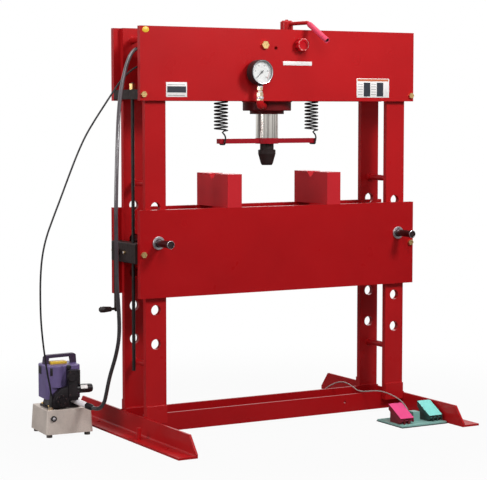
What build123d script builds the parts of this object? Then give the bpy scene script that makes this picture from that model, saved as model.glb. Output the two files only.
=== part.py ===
from build123d import *
import os
from math import cos, pi, radians, sin, sqrt, tan

# A floor-standing hydraulic workshop press. Two tall frames of flat bars carry a head made of
# two plates, with the cylinder between them. A table of two plates hangs on two steel pins
# and is lifted by a hand crank and a screw at its left end. An electric pump with its tank
# stands on the floor to the left, and a double foot switch stands in front on the right.
# Sizes are in millimetres. X runs to the right, Y to the back, Z up. The origin lies on the
# floor, midway between the four column bars, straight below the ram.

os.makedirs("parts", exist_ok=True)

# Clearances
FIT = 0.05            # radial clearance of a shaft that turns or slides in its bore
SLIP = 0.3            # gap between pieces that move past each other
SEAT = 0.1            # radial clearance of a fixed spigot in its socket

# Head and table plates
HEAD_TOP = 1795.0     # top edge of the head above the floor
HEAD_LENGTH = 1430.0
HEAD_HEIGHT = 320.0
TABLE_LENGTH = 1438.0
TABLE_HEIGHT = 384.0
PLATE_GAP = 240.0     # clear space between the front and the back plate
PLATE_T = 25.0

# Column bars
COLUMN_SPAN = 1262.0  # centre of the left bars to centre of the right bars
COLUMN_W = 100.0
COLUMN_T = 25.0
COLUMN_LOW = 62.0     # lower end of the bars above the floor
PAD_H = 76.0          # plate welded on each bar's outer face at its foot
PAD_T = 8.0
HOLE_D = 46.0
HOLE_PITCH = 150.0
HOLE_LOW = 412.0      # centre of the lowest pin hole
HOLE_COUNT = 5
PIN_HOLE = 3          # which hole, counted from zero at the bottom, carries the table
TIE_D = 27.0
TIE_OFFSET = 100.0    # tie bars above the top hole and below the lowest one
TIE_TOP_DROP = 52.0   # upper tie bar below the head's top edge

# Feet and floor beams
FOOT_LENGTH = 1200.0
FOOT_LEG = 90.0       # both legs of the angle section
FOOT_T = 9.0
FOOT_SLOPE = 60.0     # how far the upright leg's ends slope back
FOOT_ROOT_R = 8.0
ANCHOR_D = 18.0
ANCHOR_GAUGE = 35.0   # anchor hole from the angle's heel
ANCHOR_Y = 300.0
POST_D = 19.0
POST_H = 52.0
POST_Y = -165.0
BEAM_H = 82.0
BEAM_T = 12.0
BEAM_LOW = 17.0
BEAM_HOLE_D = 14.0
BEAM_HOLE_X = 371.0

# Table pins
PIN_D = 38.0
PIN_STICKOUT = 140.0  # free end in front of the front plate
PIN_TAIL = 20.0       # how far the pin passes the back plate
PIN_HEAD_D = 43.0
PIN_HEAD_L = 18.0
RING_D = 58.0
RING_T = 8.0
PIN_BELOW_TOP = 143.5  # pin centre below the table plates' top edge

# Bolts that join the plates at their ends
BOLT_D = 16.0
BOLT_AF = 24.0
BOLT_HEAD = 10.0
BOLT_GRIP = 24.0      # length of the bolt in the piece behind the plate
HEAD_BOLT_X = 700.0
HEAD_BOLT_UP = 27.0   # above the head plates' lower edge
TABLE_BOLT_X = 703.0
TABLE_BOLT_UP = 192.0  # above the table plates' lower edge
BIG_BOLT_AF = 32.0
BIG_BOLT_D = 20.0
BIG_BOLT_X = -98.0
BIG_BOLT_DROP = 71.0
SPACER_D = 38.0
SPARE_HOLE_D = 16.0
SPARE_HOLE_X = -38.0
SPARE_HOLE_DROP = 84.0
WEB_T = 16.0
WEB_H = 250.0
WEB_X = (-470.0, -150.0, 150.0, 470.0)

# Cylinder group
SEAT_PLATE_T = 40.0
SEAT_PLATE_W = 250.0
BARREL_D = 148.0
BARREL_TOP_DROP = 35.0   # top of the barrel below the head's top edge
BARREL_CAP = 25.0
BORE_D = 110.0
NECK_D = 156.0
NECK_BELOW = 15.0        # how far the neck shows below the collar
GLAND_L = 60.0
COLLAR_D = 222.0
COLLAR_H = 44.0
RAM_D = 102.0
RAM_SHOW = 109.0         # chrome seen between the neck and the spring bar
PISTON_L = 40.0
PISTON_TOP_GAP = 35.0
BAR_LENGTH = 512.0
BAR_W = 32.0
BAR_H = 22.0
BAR_HUB_D = 106.0
BAR_HUB_H = 26.0
NOSE_NECK_D = 63.0
NOSE_NECK_L = 27.0
NOSE_D = 80.0
NOSE_STRAIGHT = 19.0
NOSE_TIP_D = 56.0
NOSE_L = 71.0
NOSE_SOCKET = 34.0

# Return springs
SPRING_D = 67.0
SPRING_WIRE = 7.0
SPRING_PITCH = 16.0
SPRING_TURNS = 15.5
TURN_STEPS = 14          # straight steps in one turn of the coil
HOOK_STEPS = 8
SPRING_X = 240.0
SPRING_FOOT_GAP = 35.0   # spring bar's top to the lowest coil
HOOK_GAP = 4.0           # room between the hook and the spring bar's sides
ANCHOR_ROD_D = 16.0

# Rotary valve, lever and knob
VALVE_W = 74.0
VALVE_H = 105.0
VALVE_X = 113.0
VALVE_DROP = 6.0
HUB_X = 105.0
HUB_D = 59.0
HUB_H = 42.0
HUB_GAP = 0.3
SPINDLE_D = 20.0
SPINDLE_L = 40.0
LEVER_D = 18.0
LEVER_WALL = 3.0
LEVER_UP = 33.0          # lever centre above the head's top edge
LEVER_FLAT = 150.0
LEVER_DROP = 150.0
LEVER_SLOPE = 32.0
LEVER_TURN = 8.0
LEVER_BEND_R = 30.0
KNOB_X = 87.0
KNOB_DROP = 67.0
KNOB_D = 62.0
KNOB_T = 22.0
KNOB_LOBES = 8
KNOB_GAP = 12.0
KNOB_STEM_D = 12.0
KNOB_STEM_L = 60.0

# Pressure gauge
GAUGE_X = -147.0
GAUGE_Y = -190.0
GAUGE_DROP = 194.0
GAUGE_D = 110.0
GAUGE_DEPTH = 50.0
GAUGE_WALL = 3.5
GAUGE_RIM = 4.0
DIAL_T = 1.5
DIAL_SINK = 12.0
LENS_T = 2.5
NEEDLE_L = 40.0
NEEDLE_TAIL = 12.0
NEEDLE_T = 1.2
STEM_AF = 27.0
STEM_NECK_D = 20.0
PIPE_D = 32.0
PIPE_BEND_R = 17.0

# Pressure switch inside the head
SWITCH_X = -530.0
SWITCH_SIZE = (60.0, 60.0, 84.0)
SWITCH_Z = 1632.0

# Table lift
LIFT_SCREW_D = 16.0
LIFT_X = -700.0
LIFT_Y = -38.0
SCREW_LOW = 290.0
NUT_AF = 24.0
NUT_H = 13.0
HANGER_W = 30.0
HANGER_H = 42.0
LIFT_BOX_H = 88.0
LIFT_BOX_PROUD = 12.0
LIFT_BOX_INNER = -684.0
LIFT_BOX_Z = 812.0
CRANK_Y = 44.0
CRANK_R = 253.0
CRANK_SHAFT_D = 16.0
CRANK_SHAFT_IN = 30.0
CRANK_HUB_D = 28.0
CRANK_HUB_L = 17.0
CRANK_GAP = 2.0
ARM_W = 24.0
ARM_T = 8.0
GRIP_PIN_D = 12.0
GRIP_L = 58.0
GRIP_D = 28.0
GRIP_GAP = 19.0
BUTTON_D = 14.0
BUTTON_H = 6.0

# Press blocks
BLOCK_W = 72.0
BLOCK_H = 148.0
BLOCK_LEFT_X = -250.0
BLOCK_RIGHT_X = 273.0
GROOVE_W = 64.0
GROOVE_D = 30.0

# Pump
PUMP_AT = (-948.0, 189.0)
PUMP_TURN = -4.0
TANK_L = 220.0
TANK_W = 216.0
TANK_TAPER = 4.0         # degrees that each side leans inwards
TANK_H = 107.0
TANK_WALL = 4.0
TANK_R = 14.0
PUMP_FOOT_H = 15.0
PUMP_FOOT_D = 26.0
COVER_L = 158.0
COVER_W = 134.0
COVER_T = 8.0
CASTING_H = 33.0
MOTOR_D = 104.0
MOTOR_H = 128.0
SHROUD_L = 160.0
SHROUD_W = 126.0
SHROUD_LOW = 163.0
SHROUD_H = 149.0
SHROUD_WALL = 4.0
SHROUD_R = 18.0
SHROUD_X = -11.0
BULGE_R = 31.0
BULGE_H = 96.0
BULGE_X = -39.0
HANDLE_H = 44.0
HANDLE_BAR = 14.0
HANDLE_D = 24.0
HANDLE_POST = 22.0
SOLENOID_D = 34.0
SOLENOID_L = 69.0
GLAND_D = 16.0
GLAND_H = 28.0
GLAND_AT = (-1029.0, 116.5)
INLET_D = 12.0
PEDAL_CABLE_IN = (-940.5, 307.0, 60.0)
COUPLER_D = 20.0
SLEEVE_D = 24.0
COUPLER_START = (-928.0, 160.0, 158.0)
HOSE_START = (-880.0, 16.0, 134.0)
FERRULE_D = 24.0
FERRULE_L = 28.0
PORT_X = -114.0          # where the hose meets its end fitting on the barrel
PORT_Z = 1682.0

# Foot switch
PEDAL_BASE_L = 250.0
PEDAL_BASE_W = 205.0
PEDAL_BASE_T = 10.0
PEDAL_BASE_X = 549.0
PEDAL_BASE_Y = -387.5
PEDAL_W = 72.0
PEDAL_L = 98.0
PEDAL_T = 5.0
PEDAL_LOW = 38.0
PEDAL_HIGH = 92.0
PEDAL_SKIRT = 22.0
PEDAL_LEFT_X = 472.0
PEDAL_RIGHT_X = 632.0
PEDAL_FRONT_Y = -460.0
PEDAL_PIN_D = 8.0
PEDAL_TRAVEL = 8.0

# Cords
HOSE_D = 17.0
CABLE_D = 8.0
PEDAL_CABLE_D = 5.0

# Places worked out from the sizes above
PLATE_Y = PLATE_GAP / 2
FACE_Y = PLATE_Y + PLATE_T
HEAD_LOW = HEAD_TOP - HEAD_HEIGHT
COLUMN_X = COLUMN_SPAN / 2
COLUMN_OUT = COLUMN_X + COLUMN_W / 2
BAR_IN = PLATE_Y - COLUMN_T
PIN_Z = HOLE_LOW + PIN_HOLE * HOLE_PITCH - (HOLE_D - PIN_D) / 2 + SLIP
TABLE_TOP = PIN_Z + PIN_BELOW_TOP
TABLE_LOW = TABLE_TOP - TABLE_HEIGHT
TIE_HIGH = HOLE_LOW + (HOLE_COUNT - 1) * HOLE_PITCH + TIE_OFFSET
TIE_LOW = HOLE_LOW - TIE_OFFSET
COLLAR_LOW = HEAD_LOW - COLLAR_H
NECK_LOW = COLLAR_LOW - NECK_BELOW
RAM_LOW = NECK_LOW - RAM_SHOW
BARREL_TOP = HEAD_TOP - BARREL_TOP_DROP
PISTON_TOP = BARREL_TOP - BARREL_CAP - PISTON_TOP_GAP
BAR_TOP = RAM_LOW - (BAR_HUB_H - BAR_H) / 2
BAR_LOW = BAR_TOP - BAR_H
HUB_LOW = RAM_LOW - BAR_HUB_H
NOSE_TOP = HUB_LOW
NOSE_LOW = NOSE_TOP - NOSE_NECK_L - NOSE_L


def save(name, *solids):
    shape = solids[0] if len(solids) == 1 else Compound(list(solids))
    export_step(shape, "parts/" + name + ".step")


def block(x0, x1, y0, y1, z0, z1):
    middle = Pos((x0 + x1) / 2, (y0 + y1) / 2, (z0 + z1) / 2)
    return middle * Box(x1 - x0, y1 - y0, z1 - z0)


def rod_x(d, x0, x1, y, z):
    return Pos((x0 + x1) / 2, y, z) * Rot(0, 90, 0) * Cylinder(d / 2, x1 - x0)


def rod_y(d, y0, y1, x, z):
    return Pos(x, (y0 + y1) / 2, z) * Rot(90, 0, 0) * Cylinder(d / 2, y1 - y0)


def rod_z(d, z0, z1, x, y):
    return Pos(x, y, (z0 + z1) / 2) * Cylinder(d / 2, z1 - z0)


def prism_x(points, x0, x1):
    face = make_face(Plane.YZ.offset(x0) * Polyline(*points, close=True))
    return extrude(face, x1 - x0, dir=(1, 0, 0))


def prism_y(points, y0, y1):
    face = make_face(Plane.XZ.offset(-y0) * Polyline(*points, close=True))
    return extrude(face, y1 - y0, dir=(0, 1, 0))


def turned(points):
    return revolve(make_face(Plane.XZ * Polyline(*points, close=True)), Axis.Z)


def hexagon_y(across, y0, y1, x, z):
    face = Plane.XZ.offset(-y0) * Pos(x, z) * RegularPolygon(across / 2, 6, major_radius=False)
    return extrude(face, y1 - y0, dir=(0, 1, 0))


def hexagon_z(across, z0, z1, x, y):
    face = Plane.XY.offset(z0) * Pos(x, y) * RegularPolygon(across / 2, 6, major_radius=False)
    return extrude(face, z1 - z0)


# Head plates, with holes for the end bolts, the big bolt, the knob's stem and a spare hole
def head_plate(y0, front):
    plate = block(-HEAD_LENGTH / 2, HEAD_LENGTH / 2, y0, y0 + PLATE_T, HEAD_LOW, HEAD_TOP)
    for side in (-1, 1):
        plate -= rod_y(BOLT_D + 2 * SEAT, y0, y0 + PLATE_T, side * HEAD_BOLT_X, HEAD_LOW + HEAD_BOLT_UP)
    plate -= rod_y(BIG_BOLT_D + 2 * SEAT, y0, y0 + PLATE_T, BIG_BOLT_X, HEAD_TOP - BIG_BOLT_DROP)
    if front:
        plate -= rod_y(SPARE_HOLE_D, y0, y0 + PLATE_T, SPARE_HOLE_X, HEAD_TOP - SPARE_HOLE_DROP)
        plate -= rod_y(KNOB_STEM_D + 4, y0, y0 + PLATE_T, KNOB_X, HEAD_TOP - KNOB_DROP)
    return plate


save("head_plate_front", head_plate(-FACE_Y, True))
save("head_plate_back", head_plate(PLATE_Y, False))


# Table plates, with the bores that the two pins slide in
def table_plate(y0):
    plate = block(-TABLE_LENGTH / 2, TABLE_LENGTH / 2, y0, y0 + PLATE_T, TABLE_LOW, TABLE_TOP)
    for side in (-1, 1):
        plate -= rod_y(PIN_D + 2 * FIT, y0, y0 + PLATE_T, side * COLUMN_X, PIN_Z)
        plate -= rod_y(BOLT_D + 2 * SEAT, y0, y0 + PLATE_T, side * TABLE_BOLT_X, TABLE_LOW + TABLE_BOLT_UP)
    return plate


save("table_plate_front", table_plate(-FACE_Y))
save("table_plate_back", table_plate(PLATE_Y))


# Column bars: flat bars with a row of pin holes, and a welded plate at the foot
def column(side, front):
    x = side * COLUMN_X
    y0 = -PLATE_Y if front else BAR_IN
    bar = block(x - COLUMN_W / 2, x + COLUMN_W / 2, y0, y0 + COLUMN_T, COLUMN_LOW, HEAD_TOP)
    for n in range(HOLE_COUNT):
        bar -= rod_y(HOLE_D, y0, y0 + COLUMN_T, x, HOLE_LOW + n * HOLE_PITCH)
    pad_y = y0 - PAD_T if front else y0 + COLUMN_T
    bar += block(x - COLUMN_W / 2, x + COLUMN_W / 2, pad_y, pad_y + PAD_T, COLUMN_LOW, COLUMN_LOW + PAD_H)
    return bar


save("column_front_left", column(-1, True))
save("column_front_right", column(1, True))
save("column_back_left", column(-1, False))
save("column_back_right", column(1, False))

ties = []
for side in (-1, 1):
    for height in (TIE_LOW, TIE_HIGH, HEAD_TOP - TIE_TOP_DROP):
        ties.append(rod_y(TIE_D, -BAR_IN, BAR_IN, side * COLUMN_X, height))
save("column_tie_bars", *ties)


# Feet: rolled angles along Y, upright leg against the bars' outer faces, its ends sloped
def foot(side):
    heel = COLUMN_OUT
    half = FOOT_LENGTH / 2
    leg = FOOT_LEG
    section = [(heel, 0), (heel + leg, 0), (heel + leg, FOOT_T), (heel + FOOT_T, FOOT_T)]
    section += [(heel + FOOT_T, leg), (heel, leg)]
    angle = prism_y(section, -half, half)
    root = angle.edges().filter_by(Axis.Y).sort_by_distance((heel + FOOT_T, 0, FOOT_T))[0]
    angle = fillet(root, FOOT_ROOT_R)
    for end in (-1, 1):
        slope = [(end * half, FOOT_T + FOOT_ROOT_R), (end * half, leg + 1)]
        slope += [(end * (half - FOOT_SLOPE), leg + 1), (end * (half - FOOT_SLOPE), leg)]
        angle -= prism_x(slope, heel - 1, heel + leg + 1)
    angle -= rod_z(ANCHOR_D, 0, FOOT_T, heel + ANCHOR_GAUGE, ANCHOR_Y)
    angle += rod_z(POST_D, FOOT_T, FOOT_T + POST_H, heel + FOOT_LEG * 0.65, POST_Y)
    return angle if side > 0 else mirror(angle, Plane.YZ)


save("foot_left", foot(-1))
save("foot_right", foot(1))

beam_front = block(-COLUMN_OUT, COLUMN_OUT, -BAR_IN, -BAR_IN + BEAM_T, BEAM_LOW, BEAM_LOW + BEAM_H)
beam_front -= rod_y(BEAM_HOLE_D, -BAR_IN, -BAR_IN + BEAM_T, BEAM_HOLE_X, BEAM_LOW + BEAM_H / 2 + 8)
save("beam_front", beam_front)
beam_back = block(-COLUMN_OUT, COLUMN_OUT, BAR_IN - BEAM_T, BAR_IN, BEAM_LOW, BEAM_LOW + BEAM_H)
save("beam_back", beam_back)

# Pieces between the plates: webs in the table, and end bars and a spacer
spacers = []
for x in WEB_X:
    web = block(x - WEB_T / 2, x + WEB_T / 2, -PLATE_Y, PLATE_Y, TABLE_LOW + 40, TABLE_LOW + 40 + WEB_H)
    spacers.append(web)
right_z = HEAD_LOW + HEAD_BOLT_UP
end_bar = block(HEAD_BOLT_X - HANGER_W / 2, HEAD_BOLT_X + HANGER_W / 2, -PLATE_Y, PLATE_Y, right_z - HANGER_H / 2, right_z + HANGER_H / 2)
for side in (-1, 1):
    end_bar -= rod_y(BOLT_D, side * PLATE_Y - BOLT_GRIP, side * PLATE_Y + BOLT_GRIP, HEAD_BOLT_X, right_z)
spacers.append(end_bar)
table_bolt_z = TABLE_LOW + TABLE_BOLT_UP
end_bar = block(TABLE_BOLT_X - HANGER_W / 2, TABLE_BOLT_X + HANGER_W / 2 - 2, -PLATE_Y, PLATE_Y, table_bolt_z - HANGER_H, table_bolt_z + HANGER_H)
for side in (-1, 1):
    end_bar -= rod_y(BOLT_D, side * PLATE_Y - BOLT_GRIP, side * PLATE_Y + BOLT_GRIP, TABLE_BOLT_X, table_bolt_z)
spacers.append(end_bar)
big_z = HEAD_TOP - BIG_BOLT_DROP
spacer = rod_y(SPACER_D, -PLATE_Y, PLATE_Y, BIG_BOLT_X, big_z)
spacer -= rod_y(BIG_BOLT_D + 2 * SEAT, -PLATE_Y, PLATE_Y, BIG_BOLT_X, big_z)
spacers.append(spacer)
save("plate_spacers", *spacers)

# Cylinder: seat plate between the head plates, barrel, collar, ram, spring bar and nose
seat = block(-SEAT_PLATE_W / 2, SEAT_PLATE_W / 2, -PLATE_Y, PLATE_Y, HEAD_LOW, HEAD_LOW + SEAT_PLATE_T)
seat -= rod_z(BARREL_D + 2 * SEAT, HEAD_LOW, HEAD_LOW + SEAT_PLATE_T, 0, 0)
save("cylinder_seat", seat)

gland_top = NECK_LOW + GLAND_L
barrel_line = [
    (RAM_D / 2 + FIT, NECK_LOW),
    (NECK_D / 2, NECK_LOW),
    (NECK_D / 2, HEAD_LOW),
    (BARREL_D / 2, HEAD_LOW),
    (BARREL_D / 2, BARREL_TOP - 4),
    (BARREL_D / 2 - 4, BARREL_TOP),
    (0, BARREL_TOP),
    (0, BARREL_TOP - BARREL_CAP),
    (BORE_D / 2, BARREL_TOP - BARREL_CAP),
    (BORE_D / 2, gland_top),
    (RAM_D / 2 + FIT, gland_top),
]
barrel = turned(barrel_line)
save("cylinder_body", barrel)

collar = rod_z(COLLAR_D, COLLAR_LOW, HEAD_LOW, 0, 0)
collar = chamfer(collar.edges().filter_by(GeomType.CIRCLE).sort_by(Axis.Z)[0], 3)
collar -= rod_z(NECK_D, COLLAR_LOW, HEAD_LOW, 0, 0)
save("cylinder_collar", collar)

ram_line = [
    (0, RAM_LOW + NOSE_SOCKET),
    (NOSE_NECK_D / 2, RAM_LOW + NOSE_SOCKET),
    (NOSE_NECK_D / 2, RAM_LOW),
    (RAM_D / 2, RAM_LOW),
    (RAM_D / 2, PISTON_TOP - PISTON_L),
    (BORE_D / 2 - FIT, PISTON_TOP - PISTON_L),
    (BORE_D / 2 - FIT, PISTON_TOP),
    (0, PISTON_TOP),
]
save("ram", turned(ram_line))

bar = block(-BAR_LENGTH / 2, BAR_LENGTH / 2, -BAR_W / 2, BAR_W / 2, BAR_LOW, BAR_TOP)
bar = fillet(bar.edges().filter_by(Axis.Z), 5)
bar += rod_z(BAR_HUB_D, HUB_LOW, RAM_LOW, 0, 0)
bar -= rod_z(NOSE_NECK_D + 2 * SEAT, HUB_LOW, RAM_LOW, 0, 0)
save("spring_bar", bar)

neck_low = NOSE_TOP - NOSE_NECK_L
nose_line = [
    (0, RAM_LOW + NOSE_SOCKET - 2),
    (NOSE_NECK_D / 2 - SEAT, RAM_LOW + NOSE_SOCKET - 2),
    (NOSE_NECK_D / 2 - SEAT, HUB_LOW),
    (NOSE_NECK_D / 2, HUB_LOW),
    (NOSE_NECK_D / 2, neck_low),
    (NOSE_D / 2 - 3, neck_low),
    (NOSE_D / 2, neck_low - 3),
    (NOSE_D / 2, neck_low - NOSE_STRAIGHT),
    (NOSE_TIP_D / 2, NOSE_LOW + 8),
    (NOSE_TIP_D / 2 - 5, NOSE_LOW),
    (0, NOSE_LOW),
]
save("ram_nose", turned(nose_line))

# Return springs: one wire makes a hook round the spring bar, the open coil, and a hook over
# its anchor rod. Its section has six sides, and each turn a set number of straight steps.
COIL_R = (SPRING_D - SPRING_WIRE) / 2
COIL_LOW = BAR_TOP + SPRING_FOOT_GAP
COIL_HIGH = COIL_LOW + SPRING_TURNS * SPRING_PITCH
ROD_Z = COIL_HIGH + COIL_R + ANCHOR_ROD_D / 2


def wire(path, d):
    start = Plane(origin=path @ 0, z_dir=path % 0)
    return sweep(start * Circle(d / 2), path=path)


def return_spring(x):
    reach = BAR_W / 2 + SPRING_WIRE / 2 + HOOK_GAP
    under = BAR_LOW - SPRING_WIRE / 2 - SLIP
    half_hook = [(reach, BAR_LOW + 4), (reach - 2, BAR_LOW - 2.4), (reach - 8, under)]
    points = [(x, reach, BAR_TOP - 6)]
    points += [(x, y, z) for y, z in half_hook]
    points += [(x, -y, z) for y, z in reversed(half_hook)]
    points += [(x, -reach, BAR_TOP + 10), (x - 5, 1.5 - COIL_R, COIL_LOW - 9)]
    steps = int(SPRING_TURNS * TURN_STEPS)
    for n in range(steps + 1):
        share = n / steps
        a = 2 * pi * SPRING_TURNS * share - pi / 2
        z = COIL_LOW + (COIL_HIGH - COIL_LOW) * share
        points.append((x + COIL_R * cos(a), COIL_R * sin(a), z))
    loop = ANCHOR_ROD_D / 2 + SPRING_WIRE / 2 + 4 * SLIP
    points.append((x - loop + 2, COIL_R * 0.7, COIL_HIGH + 7))
    points.append((x - loop, COIL_R * 0.25, ROD_Z - loop - 2))
    for n in range(HOOK_STEPS + 1):
        a = pi - 1.15 * pi * n / HOOK_STEPS
        points.append((x + loop * cos(a), 0, ROD_Z + loop * sin(a)))
    path = Polyline(*points)
    section = Plane(origin=path @ 0, z_dir=path % 0) * RegularPolygon(SPRING_WIRE / 2, 6)
    return sweep(section, path=path, transition=Transition.RIGHT)


for side, name in ((-1, "left"), (1, "right")):
    save("return_spring_" + name, return_spring(side * SPRING_X))
anchors = []
for side in (-1, 1):
    anchors.append(rod_y(ANCHOR_ROD_D, -PLATE_Y, PLATE_Y, side * SPRING_X, ROD_Z))
save("spring_anchors", *anchors)

# Rotary valve block between the head plates, its lever on top and the release knob in front
valve_top = HEAD_TOP - VALVE_DROP
valve = block(VALVE_X - VALVE_W / 2, VALVE_X + VALVE_W / 2, -PLATE_Y, PLATE_Y, valve_top - VALVE_H, valve_top)
valve += rod_z(HUB_D - 8, valve_top, HEAD_TOP + 6, HUB_X, 0)
valve -= rod_z(SPINDLE_D + 2 * FIT, HEAD_TOP - SPINDLE_L, HEAD_TOP + 6, HUB_X, 0)
valve -= rod_y(KNOB_STEM_D + 2 * FIT, -PLATE_Y, -PLATE_Y + KNOB_STEM_L, KNOB_X, HEAD_TOP - KNOB_DROP)
save("valve_block", valve)

hub_low = HEAD_TOP + 6 + HUB_GAP
hub_top = HEAD_TOP + 6 + HUB_H
hub_line = [
    (0, HEAD_TOP - SPINDLE_L + 2),
    (SPINDLE_D / 2, HEAD_TOP - SPINDLE_L + 2),
    (SPINDLE_D / 2, hub_low),
    (HUB_D / 2, hub_low),
    (HUB_D / 2, hub_top - 6),
    (HUB_D / 2 - 6, hub_top),
    (7, hub_top),
    (7, hub_top + 5),
    (0, hub_top + 5),
]
hub = Pos(HUB_X, 0, 0) * turned(hub_line)
turn = radians(LEVER_TURN)
slope = radians(LEVER_SLOPE)
lever_z = HEAD_TOP + LEVER_UP
flat_x = LEVER_FLAT * sin(turn)
flat_y = -LEVER_FLAT * cos(turn)
drop_y = -LEVER_DROP * cos(slope) * cos(turn)
drop_x = LEVER_DROP * cos(slope) * sin(turn)
lever_path = FilletPolyline(
    (HUB_X + HUB_D / 2 * 0.8 * sin(turn), -HUB_D / 2 * 0.8 * cos(turn), lever_z),
    (HUB_X + flat_x, flat_y, lever_z),
    (HUB_X + flat_x + drop_x, flat_y + drop_y, lever_z - LEVER_DROP * sin(slope)),
    radius=LEVER_BEND_R,
)
lever = hub + wire(lever_path, LEVER_D)
bore_end = lever_path @ 1
lever -= Plane(origin=bore_end, z_dir=lever_path % 1) * Pos(0, 0, -30) * Cylinder(LEVER_D / 2 - LEVER_WALL, 60)
save("valve_lever", lever)

knob_z = HEAD_TOP - KNOB_DROP
knob_y1 = -FACE_Y - KNOB_GAP
knob = rod_y(KNOB_D, knob_y1 - KNOB_T, knob_y1, KNOB_X, knob_z)
for n in range(KNOB_LOBES):
    a = radians(360 * n / KNOB_LOBES)
    cx = KNOB_X + (KNOB_D / 2 + 3) * cos(a)
    cz = knob_z + (KNOB_D / 2 + 3) * sin(a)
    knob -= rod_y(16, knob_y1 - KNOB_T, knob_y1, cx, cz)
knob -= rod_y(30, knob_y1 - KNOB_T, knob_y1 - KNOB_T + 3, KNOB_X, knob_z)
knob += rod_y(24, knob_y1, -FACE_Y - 1, KNOB_X, knob_z)
knob += rod_y(KNOB_STEM_D, -FACE_Y - 1, -PLATE_Y + KNOB_STEM_L - 1, KNOB_X, knob_z)
save("release_knob", knob)

# Pressure gauge: case with a rim, dial, needle on its pin, lens, brass stem and red pipe
gauge_z = HEAD_TOP - GAUGE_DROP
case_back = GAUGE_Y + GAUGE_DEPTH / 2
case_front = GAUGE_Y - GAUGE_DEPTH / 2
case = rod_y(GAUGE_D, case_front, case_back, GAUGE_X, gauge_z)
case = chamfer(case.edges().filter_by(GeomType.CIRCLE), 2.5)
case -= rod_y(GAUGE_D - 2 * GAUGE_WALL, case_front + GAUGE_RIM, case_back - GAUGE_WALL, GAUGE_X, gauge_z)
case -= rod_y(GAUGE_D - 2 * GAUGE_WALL - 4, case_front, case_front + GAUGE_RIM, GAUGE_X, gauge_z)
boss_low = gauge_z - GAUGE_D / 2 - 9
boss = rod_z(24, boss_low, gauge_z, GAUGE_X, GAUGE_Y)
case += boss - rod_y(GAUGE_D - 2 * GAUGE_WALL, case_front, case_back, GAUGE_X, gauge_z)
save("gauge_case", case)

dial_y = case_front + DIAL_SINK
dial = rod_y(GAUGE_D - 2 * GAUGE_WALL, dial_y, dial_y + DIAL_T, GAUGE_X, gauge_z)
dial -= rod_y(5 + 2 * FIT, dial_y, dial_y + DIAL_T, GAUGE_X, gauge_z)
save("gauge_dial", dial)

needle_y = dial_y - 2.5
needle_line = [(-NEEDLE_TAIL, -2.2), (NEEDLE_L - 10, -1.2), (NEEDLE_L, 0), (NEEDLE_L - 10, 1.2), (-NEEDLE_TAIL, 2.2)]
needle = prism_y(needle_line, needle_y - NEEDLE_T, needle_y)
needle = Pos(GAUGE_X, 0, gauge_z) * Rot(0, 135, 0) * needle
needle += rod_y(10, needle_y - NEEDLE_T - 1, needle_y, GAUGE_X, gauge_z)
needle += rod_y(5, needle_y, dial_y + DIAL_T + 6, GAUGE_X, gauge_z)
save("gauge_needle", needle)

lens_y = case_front + GAUGE_RIM
lens = rod_y(GAUGE_D - 2 * GAUGE_WALL, lens_y, lens_y + LENS_T, GAUGE_X, gauge_z)
save("gauge_lens", lens)

pipe_z = COLLAR_LOW + COLLAR_H / 2 + 1
stem_low = HEAD_LOW + 2
stem = hexagon_z(STEM_AF, stem_low, stem_low + 34, GAUGE_X, GAUGE_Y)
stem += rod_z(STEM_NECK_D, stem_low + 34, boss_low - 14, GAUGE_X, GAUGE_Y)
stem += hexagon_z(STEM_AF - 3, boss_low - 14, boss_low, GAUGE_X, GAUGE_Y)
save("gauge_stem", stem)

reach = sqrt(GAUGE_X ** 2 + GAUGE_Y ** 2)
inner = (COLLAR_D / 2 - 12) / reach
pipe_path = FilletPolyline(
    (GAUGE_X * inner, GAUGE_Y * inner, pipe_z),
    (GAUGE_X, GAUGE_Y, pipe_z),
    (GAUGE_X, GAUGE_Y, stem_low),
    radius=PIPE_BEND_R,
)
pipe = wire(pipe_path, PIPE_D) - rod_z(COLLAR_D, COLLAR_LOW, HEAD_LOW, 0, 0)
save("gauge_pipe", pipe)

sx, sy, sz = SWITCH_SIZE
switch = block(SWITCH_X - sx / 2, SWITCH_X + sx / 2, -PLATE_Y, -PLATE_Y + sy, SWITCH_Z - sz / 2, SWITCH_Z + sz / 2)
switch = fillet(switch.edges().filter_by(Axis.Z), 5)
switch += rod_x(GLAND_D, SWITCH_X - sx / 2 - 16, SWITCH_X - sx / 2, -PLATE_Y + sy / 2, SWITCH_Z)
save("pressure_switch", switch)

# Press blocks with a groove across their top, standing on the table plates
for x, name in ((BLOCK_LEFT_X, "left"), (BLOCK_RIGHT_X, "right")):
    body = block(x - BLOCK_W / 2, x + BLOCK_W / 2, -FACE_Y, FACE_Y, TABLE_TOP, TABLE_TOP + BLOCK_H)
    top = TABLE_TOP + BLOCK_H
    groove = [(-GROOVE_W / 2, top), (0, top - GROOVE_D), (GROOVE_W / 2, top)]
    body -= prism_x(groove, x - BLOCK_W / 2, x + BLOCK_W / 2)
    save("press_block_" + name, body)

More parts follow.
